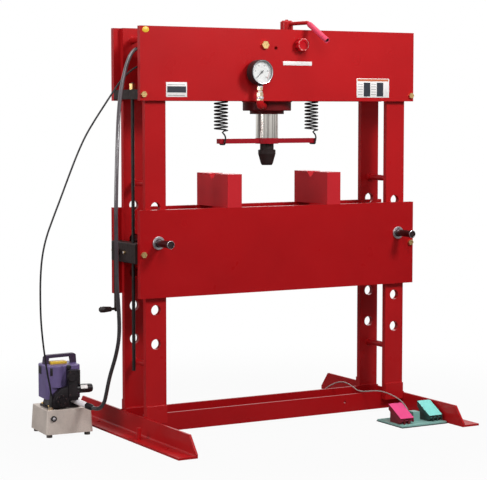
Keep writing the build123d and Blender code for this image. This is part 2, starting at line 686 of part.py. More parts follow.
# Table pins and the rings welded round their bores
rings = []
for side, name in ((-1, "left"), (1, "right")):
    x = side * COLUMN_X
    front = -FACE_Y - PIN_STICKOUT
    pin = rod_y(PIN_D, front + PIN_HEAD_L, FACE_Y + PIN_TAIL, x, PIN_Z)
    pin = chamfer(pin.edges().filter_by(GeomType.CIRCLE).sort_by(Axis.Y)[-1], 4)
    knob_end = rod_y(PIN_HEAD_D, front, front + PIN_HEAD_L, x, PIN_Z)
    pin += chamfer(knob_end.edges().filter_by(GeomType.CIRCLE), 3)
    save("table_pin_" + name, pin)
    ring = rod_y(RING_D, -FACE_Y - RING_T, -FACE_Y, x, PIN_Z)
    ring = chamfer(ring.edges().filter_by(GeomType.CIRCLE).sort_by(Axis.Y)[0], 1.5)
    rings.append(ring - rod_y(PIN_D + 2 * SLIP, -FACE_Y - RING_T, -FACE_Y, x, PIN_Z))
save("pin_rings", *rings)


# Bolts: hexagon heads outside the plates, shanks in the pieces behind them
def end_bolt(side, x, z):
    y0 = side * FACE_Y
    head = hexagon_y(BOLT_AF, y0 if side > 0 else y0 - BOLT_HEAD, y0 + BOLT_HEAD if side > 0 else y0, x, z)
    y1 = side * (PLATE_Y - BOLT_GRIP + 1)
    return head + rod_y(BOLT_D, min(y0, y1), max(y0, y1), x, z)


fasteners = []
for side in (-1, 1):
    for end in (-1, 1):
        fasteners.append(end_bolt(side, end * HEAD_BOLT_X, right_z))
        fasteners.append(end_bolt(side, end * TABLE_BOLT_X, table_bolt_z))
big = hexagon_y(BIG_BOLT_AF, -FACE_Y - 13, -FACE_Y, BIG_BOLT_X, big_z)
big += rod_y(BIG_BOLT_D, -FACE_Y, FACE_Y + 26, BIG_BOLT_X, big_z)
big += hexagon_y(BIG_BOLT_AF, FACE_Y, FACE_Y + 16, BIG_BOLT_X, big_z)
fasteners.append(big)
hanger_z = right_z
hanger_top = hanger_z + HANGER_H / 2
for n in range(2):
    nut = hexagon_z(NUT_AF, hanger_top + n * NUT_H, hanger_top + (n + 1) * NUT_H, LIFT_X, LIFT_Y)
    nut -= rod_z(LIFT_SCREW_D + 2 * FIT, hanger_top, hanger_top + 2 * NUT_H, LIFT_X, LIFT_Y)
    fasteners.append(nut)
box_out = -TABLE_LENGTH / 2 - LIFT_BOX_PROUD
fasteners.append(rod_x(BUTTON_D, box_out - BUTTON_H, box_out, -13, LIFT_BOX_Z))
save("frame_fasteners", *fasteners)

# Table lift: hanger bar, screw, gearbox, crank and its grip
hanger = block(-HEAD_BOLT_X - HANGER_W / 2, -HEAD_BOLT_X + HANGER_W / 2, -PLATE_Y, PLATE_Y, hanger_z - HANGER_H / 2, hanger_top)
hanger -= rod_z(LIFT_SCREW_D + 1, hanger_z - HANGER_H / 2, hanger_top, LIFT_X, LIFT_Y)
for side in (-1, 1):
    hanger -= rod_y(BOLT_D, side * PLATE_Y - BOLT_GRIP, side * PLATE_Y + BOLT_GRIP, -HEAD_BOLT_X, hanger_z)
save("lift_hanger", hanger)
screw = rod_z(LIFT_SCREW_D, SCREW_LOW, hanger_top + 2 * NUT_H + 4, LIFT_X, LIFT_Y)
screw = chamfer(screw.edges().filter_by(GeomType.CIRCLE), 1.5)
save("lift_screw", screw)

box_low = LIFT_BOX_Z - LIFT_BOX_H / 2
box_high = LIFT_BOX_Z + LIFT_BOX_H / 2
gearbox = block(box_out, LIFT_BOX_INNER, -PLATE_Y, PLATE_Y, box_low, box_high)
gearbox = chamfer(gearbox.edges().filter_by(Axis.Y).sort_by(Axis.X)[:2], 4)
gearbox -= rod_z(LIFT_SCREW_D + 1, box_low, box_high, LIFT_X, LIFT_Y)
gearbox -= rod_x(CRANK_SHAFT_D + 2 * FIT, box_out, box_out + CRANK_SHAFT_IN, CRANK_Y, LIFT_BOX_Z)
for side in (-1, 1):
    gearbox -= rod_y(BOLT_D, side * PLATE_Y - BOLT_GRIP, side * PLATE_Y + BOLT_GRIP, -TABLE_BOLT_X, table_bolt_z)
save("lift_gearbox", gearbox)

hub_in = box_out - CRANK_GAP
hub_out = hub_in - CRANK_HUB_L
crank = rod_x(CRANK_HUB_D, hub_out, hub_in, CRANK_Y, LIFT_BOX_Z)
crank += rod_x(CRANK_SHAFT_D, hub_in, box_out + CRANK_SHAFT_IN - 1, CRANK_Y, LIFT_BOX_Z)
arm = block(hub_out, hub_out + ARM_T, CRANK_Y - ARM_W / 2, CRANK_Y + ARM_W / 2, LIFT_BOX_Z - CRANK_R, LIFT_BOX_Z)
arm += rod_x(ARM_W, hub_out, hub_out + ARM_T, CRANK_Y, LIFT_BOX_Z - CRANK_R)
crank += arm
grip_in = hub_out - GRIP_GAP
grip_out = grip_in - GRIP_L
crank += rod_x(GRIP_PIN_D, grip_out + 8, hub_out, CRANK_Y, LIFT_BOX_Z - CRANK_R)
save("crank_arm", crank)

g = GRIP_L
grip_line = [(0, 0), (GRIP_D / 2 - 6, 0), (GRIP_D / 2 - 1, 6), (GRIP_D / 2, g * 0.35), (GRIP_D / 2 - 3, g - 4), (GRIP_D / 2 - 6, g), (0, g)]
grip = turned(grip_line) - rod_z(GRIP_PIN_D + 2 * FIT, 7, g, 0, 0)
save("crank_grip", Pos(grip_out, CRANK_Y, LIFT_BOX_Z - CRANK_R) * Rot(0, 90, 0) * grip)

# Pump: cast tank on rubber feet, casting and motor, shroud with its handle, valve, coupler
PUMP = Pos(PUMP_AT[0], PUMP_AT[1], 0) * Rot(0, 0, PUMP_TURN)
tank_low = PUMP_FOOT_H
tank_top = PUMP_FOOT_H + TANK_H


def tapered(inset, z0, z1):
    low = Plane.XY.offset(z0) * RectangleRounded(TANK_L - 2 * inset, TANK_W - 2 * inset, TANK_R - inset)
    return extrude(low, z1 - z0, taper=TANK_TAPER)


tank = tapered(0, tank_low, tank_top)
tank = chamfer(tank.edges().group_by(Axis.Z)[-1], 2)
hollow = tapered(TANK_WALL, tank_low + TANK_WALL, tank_top - TANK_WALL)
lean = tan(radians(TANK_TAPER))
sight_x = -TANK_L / 2 + 36
sight_z = tank_low + TANK_H * 0.66
tank_front = -TANK_W / 2 + lean * (sight_z - tank_low)
plug_x = -TANK_L / 2 + lean * TANK_H + 20
plug_y = -TANK_W / 2 + lean * TANK_H + 18
tank -= hollow
tank -= rod_y(16, tank_front - 10, tank_front + 20, sight_x, sight_z)
tank -= rod_z(12, tank_top - 10, tank_top + 1, plug_x, plug_y)
save("pump_tank", PUMP * tank)

feet = []
for fx in (-1, 1):
    for fy in (-1, 1):
        at = (fx * (TANK_L / 2 - 22), fy * (TANK_W / 2 - 22))
        feet.append(PUMP * rod_z(PUMP_FOOT_D, 0, PUMP_FOOT_H, at[0], at[1]))
save("pump_feet", *feet)

cover_top = tank_top + COVER_T
casting_top = cover_top + CASTING_H
casting = Pos(-5, 0, tank_top + COVER_T / 2) * Box(COVER_L, COVER_W, COVER_T)
casting = chamfer(casting.edges().filter_by(Axis.Z), 16)
neck = loft([
    Plane.XY.offset(cover_top) * Pos(-5, 0) * RectangleRounded(COVER_L - 22, COVER_W - 14, 12),
    Plane.XY.offset(casting_top) * Pos(-5, 0) * RectangleRounded(MOTOR_D + 8, MOTOR_D + 8, 12),
])
casting += neck
casting += rod_z(MOTOR_D, casting_top, casting_top + MOTOR_H, -5, 0)
save("pump_body", PUMP * casting)

shroud_top = SHROUD_LOW + SHROUD_H
shroud_x0 = SHROUD_X - SHROUD_L / 2
shroud_x1 = SHROUD_X + SHROUD_L / 2
shroud_y0 = -SHROUD_W / 2


def shroud_shape(inset):
    low = SHROUD_LOW
    body = Plane.XY.offset(low) * Pos(SHROUD_X, 0) * RectangleRounded(SHROUD_L - 2 * inset, SHROUD_W - 2 * inset, SHROUD_R - inset)
    return extrude(body, SHROUD_H - inset)


shroud = shroud_shape(0)
shroud += rod_z(2 * BULGE_R, shroud_top - BULGE_H, shroud_top, BULGE_X, shroud_y0 + BULGE_R - 13)
shroud = fillet(shroud.edges().group_by(Axis.Z)[-1], 6)
shroud -= shroud_shape(SHROUD_WALL)
post_top = shroud_top + HANDLE_H
outer = [(shroud_x0 + 4, shroud_top - 8), (shroud_x0 + 9, post_top - 12), (shroud_x0 + 18, post_top - 3), (shroud_x1 - 14, post_top)]
outer += [(shroud_x1 - 5, post_top - 6), (shroud_x1 - 2, shroud_top - 8)]
inside = [(shroud_x0 + 4 + HANDLE_POST, shroud_top), (shroud_x0 + 9 + HANDLE_POST, post_top - HANDLE_BAR - 3)]
inside += [(shroud_x1 - 9 - HANDLE_POST, post_top - HANDLE_BAR), (shroud_x1 - 4 - HANDLE_POST, shroud_top)]
handle = prism_y(outer, -HANDLE_D / 2, HANDLE_D / 2) - prism_y(inside, -HANDLE_D / 2, HANDLE_D / 2)
handle = fillet(handle.edges().filter_by(Axis.Y).group_by(Axis.Z)[-1], 4)
handle -= block(-300, 300, -HANDLE_D, HANDLE_D, shroud_top - 20, shroud_top - 2)
shroud += handle
save("pump_shroud", PUMP * shroud)

valve_y1 = shroud_y0 - 0.3
valve_y0 = valve_y1 - 36
solenoid_z = 207.0
manifold = block(0, 40, valve_y0, valve_y1, 176, 228)
manifold += block(0, 54, valve_y0 + 4, valve_y1, 228, 292)
manifold += rod_y(34, valve_y0 - 10, valve_y0 + 4, 8 + 4, 262)
manifold += block(4, 36, valve_y1, valve_y1 + 16, 176, 190)
manifold -= shroud_shape(-0.3)
solenoid = rod_x(SOLENOID_D, 40, 40 + SOLENOID_L, valve_y0 + 17, solenoid_z)
solenoid = chamfer(solenoid.edges().filter_by(GeomType.CIRCLE).sort_by(Axis.X)[-1], 3)
save("pump_valve", PUMP * manifold, PUMP * solenoid)

# The coupler leaves the casting towards the front, and the hose's end fitting is on it
coupler_from = Vector(*COUPLER_START)
hose_start = Vector(*HOSE_START)
coupler_dir = (hose_start - coupler_from).normalized()
coupler_end = hose_start - coupler_dir * FERRULE_L


def coupler_ring(d, at, length):
    return extrude(Plane(origin=coupler_from + coupler_dir * at, z_dir=coupler_dir) * Circle(d / 2), length)


coupler_l = (coupler_end - coupler_from).length
coupler = coupler_ring(COUPLER_D, 0, coupler_l) + coupler_ring(SLEEVE_D, coupler_l - 62, 46)
coupler -= PUMP * casting
save("pump_coupler", coupler)
ferrule = coupler_ring(FERRULE_D, coupler_l, FERRULE_L)
port = rod_x(FERRULE_D, PORT_X, -BARREL_D / 2 + 10, 0, PORT_Z)
port -= rod_z(BARREL_D, PORT_Z - 30, PORT_Z + 30, 0, 0)
save("hose_ferrules", ferrule, port)

plug = hexagon_z(15, tank_top, tank_top + 12, plug_x, plug_y) + rod_z(12 - 2 * SEAT, tank_top - 8, tank_top, plug_x, plug_y)
sight = rod_y(23, tank_front - 6, tank_front + 4, sight_x, sight_z) - tank - hollow
sight += rod_y(16 - 2 * SEAT, tank_front - 4, tank_front + 8, sight_x, sight_z)
gland = rod_z(GLAND_D, tank_top, tank_top + GLAND_H, GLAND_AT[0], GLAND_AT[1])
cable_in = Vector(*PEDAL_CABLE_IN)
inlet_dir = (cable_in - Vector(-940, 327, 60)).normalized()
inlet = extrude(Plane(origin=cable_in, z_dir=inlet_dir) * Circle(INLET_D / 2), 20)
inlet -= PUMP * (tank + hollow)
save("pump_fittings", PUMP * plug, PUMP * sight, gland, inlet)

# Foot switch: base plate, two wedge housings and two hinged pedals
base_x0 = PEDAL_BASE_X - PEDAL_BASE_L / 2
base_y0 = PEDAL_BASE_Y - PEDAL_BASE_W / 2
base = block(base_x0, base_x0 + PEDAL_BASE_L, base_y0, base_y0 + PEDAL_BASE_W, 0, PEDAL_BASE_T)
base = fillet(base.edges().filter_by(Axis.Z), 6)
mid_x = (PEDAL_LEFT_X + PEDAL_RIGHT_X) / 2
base += block(mid_x - 18, mid_x + 18, PEDAL_FRONT_Y + 40, PEDAL_FRONT_Y + 84, PEDAL_BASE_T, PEDAL_BASE_T + 44)
save("pedal_base", base)

pedal_slope = (PEDAL_HIGH - PEDAL_LOW) / PEDAL_L
y_back = PEDAL_FRONT_Y + PEDAL_L


def pedal_side(offset, y):
    return PEDAL_LOW + (y - PEDAL_FRONT_Y) * pedal_slope - offset


housings = []
pedals = []
for x, name in ((PEDAL_LEFT_X, "left"), (PEDAL_RIGHT_X, "right")):
    under = PEDAL_T + 2
    swing = (PEDAL_L - 8) * sin(radians(PEDAL_TRAVEL))
    y_in = y_back - 5
    wedge = [
        (PEDAL_FRONT_Y + 16, PEDAL_BASE_T),
        (PEDAL_FRONT_Y + 16, pedal_side(under + 7, PEDAL_FRONT_Y + 16)),
        (y_in - 1, pedal_side(under + swing + 4, y_in)),
        (y_in - 1, PEDAL_BASE_T),
    ]
    housing = prism_x(wedge, x - PEDAL_W / 2 + 5, x + PEDAL_W / 2 - 5)
    for ear in (-1, 1):
        ear_x = x + ear * 12
        lug = block(ear_x - 4, ear_x + 4, PEDAL_FRONT_Y + 2, PEDAL_FRONT_Y + 17, PEDAL_BASE_T, PEDAL_LOW - 6)
        housing += lug
    hinge_y = PEDAL_FRONT_Y + 8
    hinge_z = PEDAL_LOW - 13
    housing -= rod_x(PEDAL_PIN_D + 2 * FIT, x - 17, x + 17, hinge_y, hinge_z)
    housings.append(housing)
    top = [
        (PEDAL_FRONT_Y, pedal_side(0, PEDAL_FRONT_Y)),
        (y_back, pedal_side(0, y_back)),
        (y_back, pedal_side(PEDAL_T + PEDAL_SKIRT, y_back)),
        (PEDAL_FRONT_Y + 12, pedal_side(PEDAL_T + PEDAL_SKIRT, PEDAL_FRONT_Y + 12)),
        (PEDAL_FRONT_Y, pedal_side(PEDAL_T + 15, PEDAL_FRONT_Y)),
    ]
    hollow_side = [
        (PEDAL_FRONT_Y - 9, pedal_side(PEDAL_T, PEDAL_FRONT_Y - 9)),
        (y_back - 4, pedal_side(PEDAL_T, y_back - 4)),
        (y_back - 4, -50),
        (PEDAL_FRONT_Y - 9, -50),
    ]
    pedal = prism_x(top, x - PEDAL_W / 2, x + PEDAL_W / 2)
    pedal -= prism_x(hollow_side, x - PEDAL_W / 2 + 4, x + PEDAL_W / 2 - 4)
    pedal += rod_x(PEDAL_PIN_D, x - PEDAL_W / 2 + 2, x + PEDAL_W / 2 - 2, hinge_y, hinge_z)
    pedals.append(pedal)
    save("pedal_" + name, pedal)
save("pedal_housings", *housings)


# Free cords: straight runs joined by tangent arcs, each arc as large as its two runs allow.
# Their sections have eight sides.
def cord(name, points, d):
    spots = [Vector(*p) for p in points]
    radii = []
    for before, here, after in zip(spots, spots[1:], spots[2:]):
        a = here - before
        b = after - here
        half = radians(a.get_angle(b)) / 2
        radii.append(0.45 * min(a.length, b.length) / tan(half))
    path = FilletPolyline(*spots, radius=radii)
    section = Plane(origin=path @ 0, z_dir=path % 0) * RegularPolygon(d / 2, 8)
    tube = sweep(section, path=path)
    expected = section.area * path.length
    print(name, "length", round(path.length), "volume ratio", round(tube.volume / expected, 4))
    print(name, "radii", [round(r) for r in radii])
    save(name, tube)
    return tube


HOSE_POINTS = [
    HOSE_START,
    (-871, -11, 129.5),
    (-862, -40, 139),
    (-858, -68, 166),
    (-856, -84, 206),
    (-851, -108, 284),
    (-838, -150, 384),
    (-843, -195, 477),
    (-865, -235, 590),
    (-886, -262, 701),
    (-893, -275, 849),
    (-897, -280, 996),
    (-888, -268, 1142),
    (-865, -232, 1309),
    (-836, -185, 1434),
    (-803, -138, 1519),
    (-769, -98, 1584),
    (-734, -60, 1641),
    (-699, -28, 1684),
    (-652, 8, 1706),
    (-590, 32, 1700),
    (-500, 48, 1672),
    (-390, 56, 1660),
    (-290, 58, 1676),
    (-200, 26, 1689),
    (-156, 0, PORT_Z),
    (PORT_X, 0, PORT_Z),
]
cord("hydraulic_hose", HOSE_POINTS, HOSE_D)

CABLE_POINTS = [
    (GLAND_AT[0], GLAND_AT[1], tank_top + GLAND_H),
    (GLAND_AT[0], GLAND_AT[1], tank_top + GLAND_H + 30),
    (-1038, 104, 222),
    (-1053, 90, 265),
    (-1067, 75, 315),
    (-1081, 60, 370),
    (-1096, 45, 440),
    (-1110, 30, 530),
    (-1116, 20, 621),
    (-1118, 12, 712),
    (-1113, 6, 802),
    (-1096, 1, 886),
    (-1066, -5, 968),
    (-1030, -10, 1058),
    (-994, -14, 1150),
    (-958, -19, 1240),
    (-920, -25, 1322),
    (-882, -31, 1384),
    (-843, -36, 1442),
    (-801, -42, 1504),
    (-761, -48, 1561),
    (-722, -58, 1602),
    (-684, -70, 1626),
    (-646, -82, 1636),
    (-608, -PLATE_Y + sy / 2, SWITCH_Z),
    (SWITCH_X - sx / 2 - 16, -PLATE_Y + sy / 2, SWITCH_Z),
]
cord("control_cable", CABLE_POINTS, CABLE_D)

PEDAL_CABLE_POINTS = [
    (mid_x, PEDAL_FRONT_Y + 84, PEDAL_BASE_T + 34),
    (mid_x, PEDAL_FRONT_Y + 102, PEDAL_BASE_T + 34),
    (554, -336, 62),
    (549, -304, 87),
    (538, -260, 104),
    (524, -205, 116),
    (509, -160, 117),
    (488, -120, 110),
    (455, -88, 107),
    (450, -45, 124),
    (444, 0, 137),
    (433, 36, 138),
    (416, 68, 127),
    (398, 102, 104),
    (376, 128, 70),
    (346, 142, 34),
    (300, 147, 10),
    (244, 152.5, 4),
    (184, 157, 3),
    (124, 160.5, 3),
    (64, 163, 3),
    (4, 164.5, 3),
    (-56, 165, 3),
    (-116, 166.5, 3),
    (-176, 169, 3),
    (-236, 172.5, 3),
    (-296, 177, 3),
    (-356, 185, 3),
    (-414, 200, 3),
    (-468, 234, 3),
    (-518, 276, 3),
    (-560, 326, 3),
    (-594, 382, 3),
    (-620, 442, 3),
    (-640, 504, 3),
    (-654, 564, 3),
    (-674, 620, 3),
    (-714, 658, 3),
    (-768, 668, 3),
    (-820, 648, 3),
    (-862, 608, 3),
    (-894, 556, 3),
    (-918, 490, 3),
    (-930, 432, 3),
    (-938, 388, 6),
    (-941, 362, 26),
    (-941, 346, 50),
    (-940, 327, 60),
    PEDAL_CABLE_IN,
]
cord("pedal_cable", PEDAL_CABLE_POINTS, PEDAL_CABLE_D)
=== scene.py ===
from math import cos, pi, radians, sin

import bmesh
import bpy
from mathutils import Matrix, Vector

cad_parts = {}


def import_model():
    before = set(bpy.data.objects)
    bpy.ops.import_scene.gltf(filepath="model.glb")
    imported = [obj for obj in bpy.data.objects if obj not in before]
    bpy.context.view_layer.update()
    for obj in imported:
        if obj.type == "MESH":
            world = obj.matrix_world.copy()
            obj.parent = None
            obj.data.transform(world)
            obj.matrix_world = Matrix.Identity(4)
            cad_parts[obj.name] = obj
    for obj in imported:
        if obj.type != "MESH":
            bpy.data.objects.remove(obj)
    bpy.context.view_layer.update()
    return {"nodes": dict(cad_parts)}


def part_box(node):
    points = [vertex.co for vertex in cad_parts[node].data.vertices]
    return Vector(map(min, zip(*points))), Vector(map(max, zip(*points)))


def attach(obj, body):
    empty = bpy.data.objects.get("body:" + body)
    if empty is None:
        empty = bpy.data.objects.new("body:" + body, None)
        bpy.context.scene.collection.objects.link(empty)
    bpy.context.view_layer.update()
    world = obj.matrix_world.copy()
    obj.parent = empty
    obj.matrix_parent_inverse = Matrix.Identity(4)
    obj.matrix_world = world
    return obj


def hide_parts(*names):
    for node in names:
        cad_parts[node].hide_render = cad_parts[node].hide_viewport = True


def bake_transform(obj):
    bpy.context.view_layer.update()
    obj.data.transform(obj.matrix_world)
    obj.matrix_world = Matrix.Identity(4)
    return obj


# Looks of a red hydraulic workshop press. The frame holds every rigid piece; this script adds
# their finishes, the smooth springs, threads, welds, dial, plates, hose and cables.

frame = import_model()
NODES = frame["nodes"]

MM = 0.001

UP = (0, 0, 1)
FORWARD = (0, -1, 0)   # to the press's front
HEAD_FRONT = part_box("head_plate_front")[0][1]
PRINT_LIFT = 0.0003    # print stands this far off the dial


def middle(node):
    low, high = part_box(node)
    return [(a + b) / 2 for a, b in zip(low, high)]


# Colours as they are seen, 0 to 255
def rgb(red, green, blue):
    def linear(c):
        c /= 255
        return c / 12.92 if c <= 0.04045 else ((c + 0.055) / 1.055) ** 2.4

    return (linear(red), linear(green), linear(blue), 1)


RED = rgb(186, 26, 30)
TABLE_RED = rgb(178, 20, 25)
BLACK = rgb(38, 26, 25)
ZINC = rgb(240, 202, 138)


# Materials
class Finish:
    """One node material: a Principled shader and the textures that feed it."""

    def __init__(self, name, rough=0.4, metal=0.0, **sockets):
        self.material = bpy.data.materials.new(name)
        self.material.use_nodes = True
        self.tree = self.material.node_tree
        self.shader = self.tree.nodes["Principled BSDF"]
        self.place = self.add("ShaderNodeTexCoord").outputs["Object"]
        self.set("Roughness", rough)
        self.set("Metallic", metal)
        for socket, value in sockets.items():
            self.set(socket.replace("_", " "), value)

    def set(self, socket, value):
        self.shader.inputs[socket].default_value = value

    def add(self, kind):
        return self.tree.nodes.new(kind)

    def link(self, a, b):
        self.tree.links.new(a, b)

    def stretched(self, scale):
        mapping = self.add("ShaderNodeMapping")
        mapping.inputs["Scale"].default_value = scale
        self.link(self.place, mapping.inputs["Vector"])
        return mapping.outputs["Vector"]

    def along(self, axis, source=None):
        axes = self.add("ShaderNodeSeparateXYZ")
        self.link(source or self.place, axes.inputs[0])
        return axes.outputs[axis]

    def noise(self, scale, detail=3.0, place=None):
        texture = self.add("ShaderNodeTexNoise")
        texture.inputs["Scale"].default_value = scale
        texture.inputs["Detail"].default_value = detail
        self.link(place or self.place, texture.inputs["Vector"])
        return texture.outputs[0]

    def ramp(self, factor, low, high, to_low, to_high):
        remap = self.add("ShaderNodeMapRange")
        remap.inputs["From Min"].default_value = low
        remap.inputs["From Max"].default_value = high
        remap.inputs["To Min"].default_value = to_low
        remap.inputs["To Max"].default_value = to_high
        self.link(factor, remap.inputs["Value"])
        return remap.outputs["Result"]

    def mix(self, factor, a, b):
        blend = self.add("ShaderNodeMix")
        blend.data_type = "RGBA"
        self.link(factor, blend.inputs[0])
        for socket, value in ((blend.inputs[6], a), (blend.inputs[7], b)):
            if isinstance(value, tuple):
                socket.default_value = value
            else:
                self.link(value, socket)
        return blend.outputs[2]

    def colour(self, value):
        self.link(value, self.shader.inputs["Base Color"])

    def roughness(self, value):
        self.link(value, self.shader.inputs["Roughness"])

    def bump(self, *layers):
        normal = None
        for height, strength, distance in layers:
            bump = self.add("ShaderNodeBump")
            bump.inputs["Strength"].default_value = strength
            bump.inputs["Distance"].default_value = distance
            self.link(height, bump.inputs["Height"])
            if normal:
                self.link(normal, bump.inputs["Normal"])
            normal = bump.outputs["Normal"]
        self.link(normal, self.shader.inputs["Normal"])


def shade(colour, factor):
    return (colour[0] * factor, colour[1] * factor, colour[2] * factor, 1)


def enamel(name, colour, rough=0.3):
    """Sprayed enamel: faint clouds of tone, orange peel and fine specks."""
    f = Finish(name, rough, Coat_Weight=0.04, Coat_Roughness=0.2, Specular_IOR_Level=0.14)
    tone = f.mix(f.ramp(f.noise(3.5, 2), 0.3, 0.7, 0, 1), shade(colour, 0.93), shade(colour, 1.05))
    speck = f.ramp(f.noise(700, 1), 0.62, 0.74, 0, 0.4)
    f.colour(f.mix(speck, tone, shade(colour, 0.62)))
    f.roughness(f.ramp(f.noise(9, 2), 0.3, 0.7, rough - 0.03, rough + 0.05))
    f.bump((f.noise(420, 2), 0.10, 0.0006), (f.noise(26, 2), 0.05, 0.002))
    return f.material


def black_paint(name, colour, rough=0.5):
    """Satin black paint with grey powder in patches and small rubbed specks."""
    f = Finish(name, rough, Specular_IOR_Level=0.25)
    dust_and_height_light = f.ramp(f.noise(18, 6), 0.45, 0.75, 0, 0.45)
    base = f.mix(dust_and_height_light, colour, shade(colour, 1.8))
    rubbed = f.ramp(f.noise(240, 3), 0.70, 0.76, 0, 0.5)
    f.colour(f.mix(rubbed, base, rgb(96, 92, 90)))
    f.roughness(f.ramp(f.noise(60, 3), 0.3, 0.7, rough - 0.1, rough + 0.12))
    f.bump((f.noise(700, 2), 0.18, 0.0004))
    return f.material


def metal(name, colour, rough=0.3, grain=(1, 1, 1), scale=900, depth=0.12):
    """Bare or plated metal with fine tool marks along one direction."""
    f = Finish(name, rough, 1.0)
    marks = f.noise(scale, 2, f.stretched(grain))
    stain = f.ramp(f.noise(24, 4), 0.35, 0.7, 0, 1)
    f.colour(f.mix(stain, colour, shade(colour, 0.72)))
    f.roughness(f.ramp(marks, 0.3, 0.7, rough - 0.08, rough + 0.12))
    f.bump((marks, depth, 0.0003))
    return f.material


def moulded(name, colour, rough=0.45, grain=0.25):
    """Moulded plastic or rubber with a fine sparked grain."""
    f = Finish(name, rough)
    f.colour(f.mix(f.ramp(f.noise(7, 3), 0.3, 0.7, 0, 1), shade(colour, 0.86), shade(colour, 1.12)))
    f.roughness(f.ramp(f.noise(40, 4), 0.3, 0.7, rough - 0.06, rough + 0.12))
    f.bump((f.noise(1500, 2), grain, 0.0002))
    return f.material


def cast_alloy(name, colour):
    """Sand-cast aluminium: a coarse grain, darker in its pores, with soft stains."""
    f = Finish(name, 0.55, 0.35)
    pores = f.noise(320, 5)
    stain = f.mix(f.ramp(f.noise(9, 5), 0.3, 0.75, 0, 1), shade(colour, 1.06), shade(colour, 0.78))
    f.colour(f.mix(f.ramp(pores, 0.5, 0.75, 0, 0.5), stain, shade(colour, 0.5)))
    f.bump((pores, 0.35, 0.0006))
    return f.material


def hose_cover(name, colour):
    """Rubber hose cover with a faint wrapped-cloth pattern and random grey blotches, and painted light
    that greys it the higher it hangs.
    """
    f = Finish(name, 0.3, Coat_Weight=0.9, Coat_Roughness=0.12)
    wrap = f.noise(520, 3)
    # Painted light: from 0.4 m up to 0.85 m the hose turns greyer, as if lit higher up.
    dust_and_height_light = f.mix(f.ramp(f.along("Z"), 0.4, 0.85, 0, 1), colour, shade(colour, 6))
    f.colour(f.mix(f.ramp(f.noise(14, 4), 0.4, 0.75, 0, 0.25), dust_and_height_light, rgb(110, 104, 110)))
    f.bump((wrap, 0.3, 0.0004))
    return f.material


def chrome(name):
    """Hard chrome: lengthwise polishing marks in its roughness, and painted reflection as dark lengthwise
    streaks in its colour.
    """
    f = Finish(name, 0.12, 1.0)
    lines = f.noise(230, 3, f.stretched((1, 1, 0.004)))
    # Painted reflection: dark lengthwise streaks in the base colour.
    f.colour(f.mix(f.ramp(lines, 0.52, 0.66, 0, 1), rgb(252, 246, 238), rgb(92, 80, 78)))
    f.roughness(f.ramp(lines, 0.3, 0.7, 0.10, 0.22))
    return f.material


def clear_glass(name):
    f = Finish(name, 0.03, Alpha=0.1)
    f.colour(f.mix(f.ramp(f.noise(5, 1), 0.3, 0.7, 0, 1), rgb(244, 248, 248), rgb(252, 253, 253)))
    return f.material


def two_tone(name, left, right, seam, axis="X"):
    """Moulded plastic in one colour before a plane across the axis and in another beyond it."""
    f = Finish(name, 0.42)
    side = f.ramp(f.along(axis), seam - 0.0005, seam + 0.0005, 0, 1)
    cloud = f.ramp(f.noise(12, 3), 0.3, 0.7, 0, 1)
    a = f.mix(cloud, shade(left, 0.85), shade(left, 1.12))
    b = f.mix(cloud, shade(right, 0.85), shade(right, 1.12))
    f.colour(f.mix(side, a, b))
    f.bump((f.noise(1500, 2), 0.25, 0.0002))
    return f.material


def topped(name, top, sides):
    """Paint with painted light and shade: a bright colour on the faces that look up and a dark colour on
    the sides below them.
    """
    f = Finish(name, 0.42)
    normal = f.tree.nodes["Texture Coordinate"].outputs["Normal"]
    # Painted light and shade: faces turned up take the bright colour, the rest the dark one.
    up = f.ramp(f.along("Z", normal), 0.45, 0.6, 0, 1)
    cloud = f.ramp(f.noise(20, 3), 0.3, 0.7, 0, 1)
    a = f.mix(cloud, shade(sides, 0.85), shade(sides, 1.12))
    b = f.mix(cloud, shade(top, 0.94), shade(top, 1.04))
    f.colour(f.mix(up, a, b))
    f.bump((f.noise(1200, 2), 0.15, 0.0002))
    return f.material


def printed(name, colour, rough=0.35):
    """A printed plate or dial face, very slightly uneven."""
    f = Finish(name, rough)
    f.colour(f.mix(f.ramp(f.noise(60, 3), 0.3, 0.7, 0, 1), colour, shade(colour, 0.9)))
    f.bump((f.noise(1200, 1), 0.06, 0.0002))
    return f.material


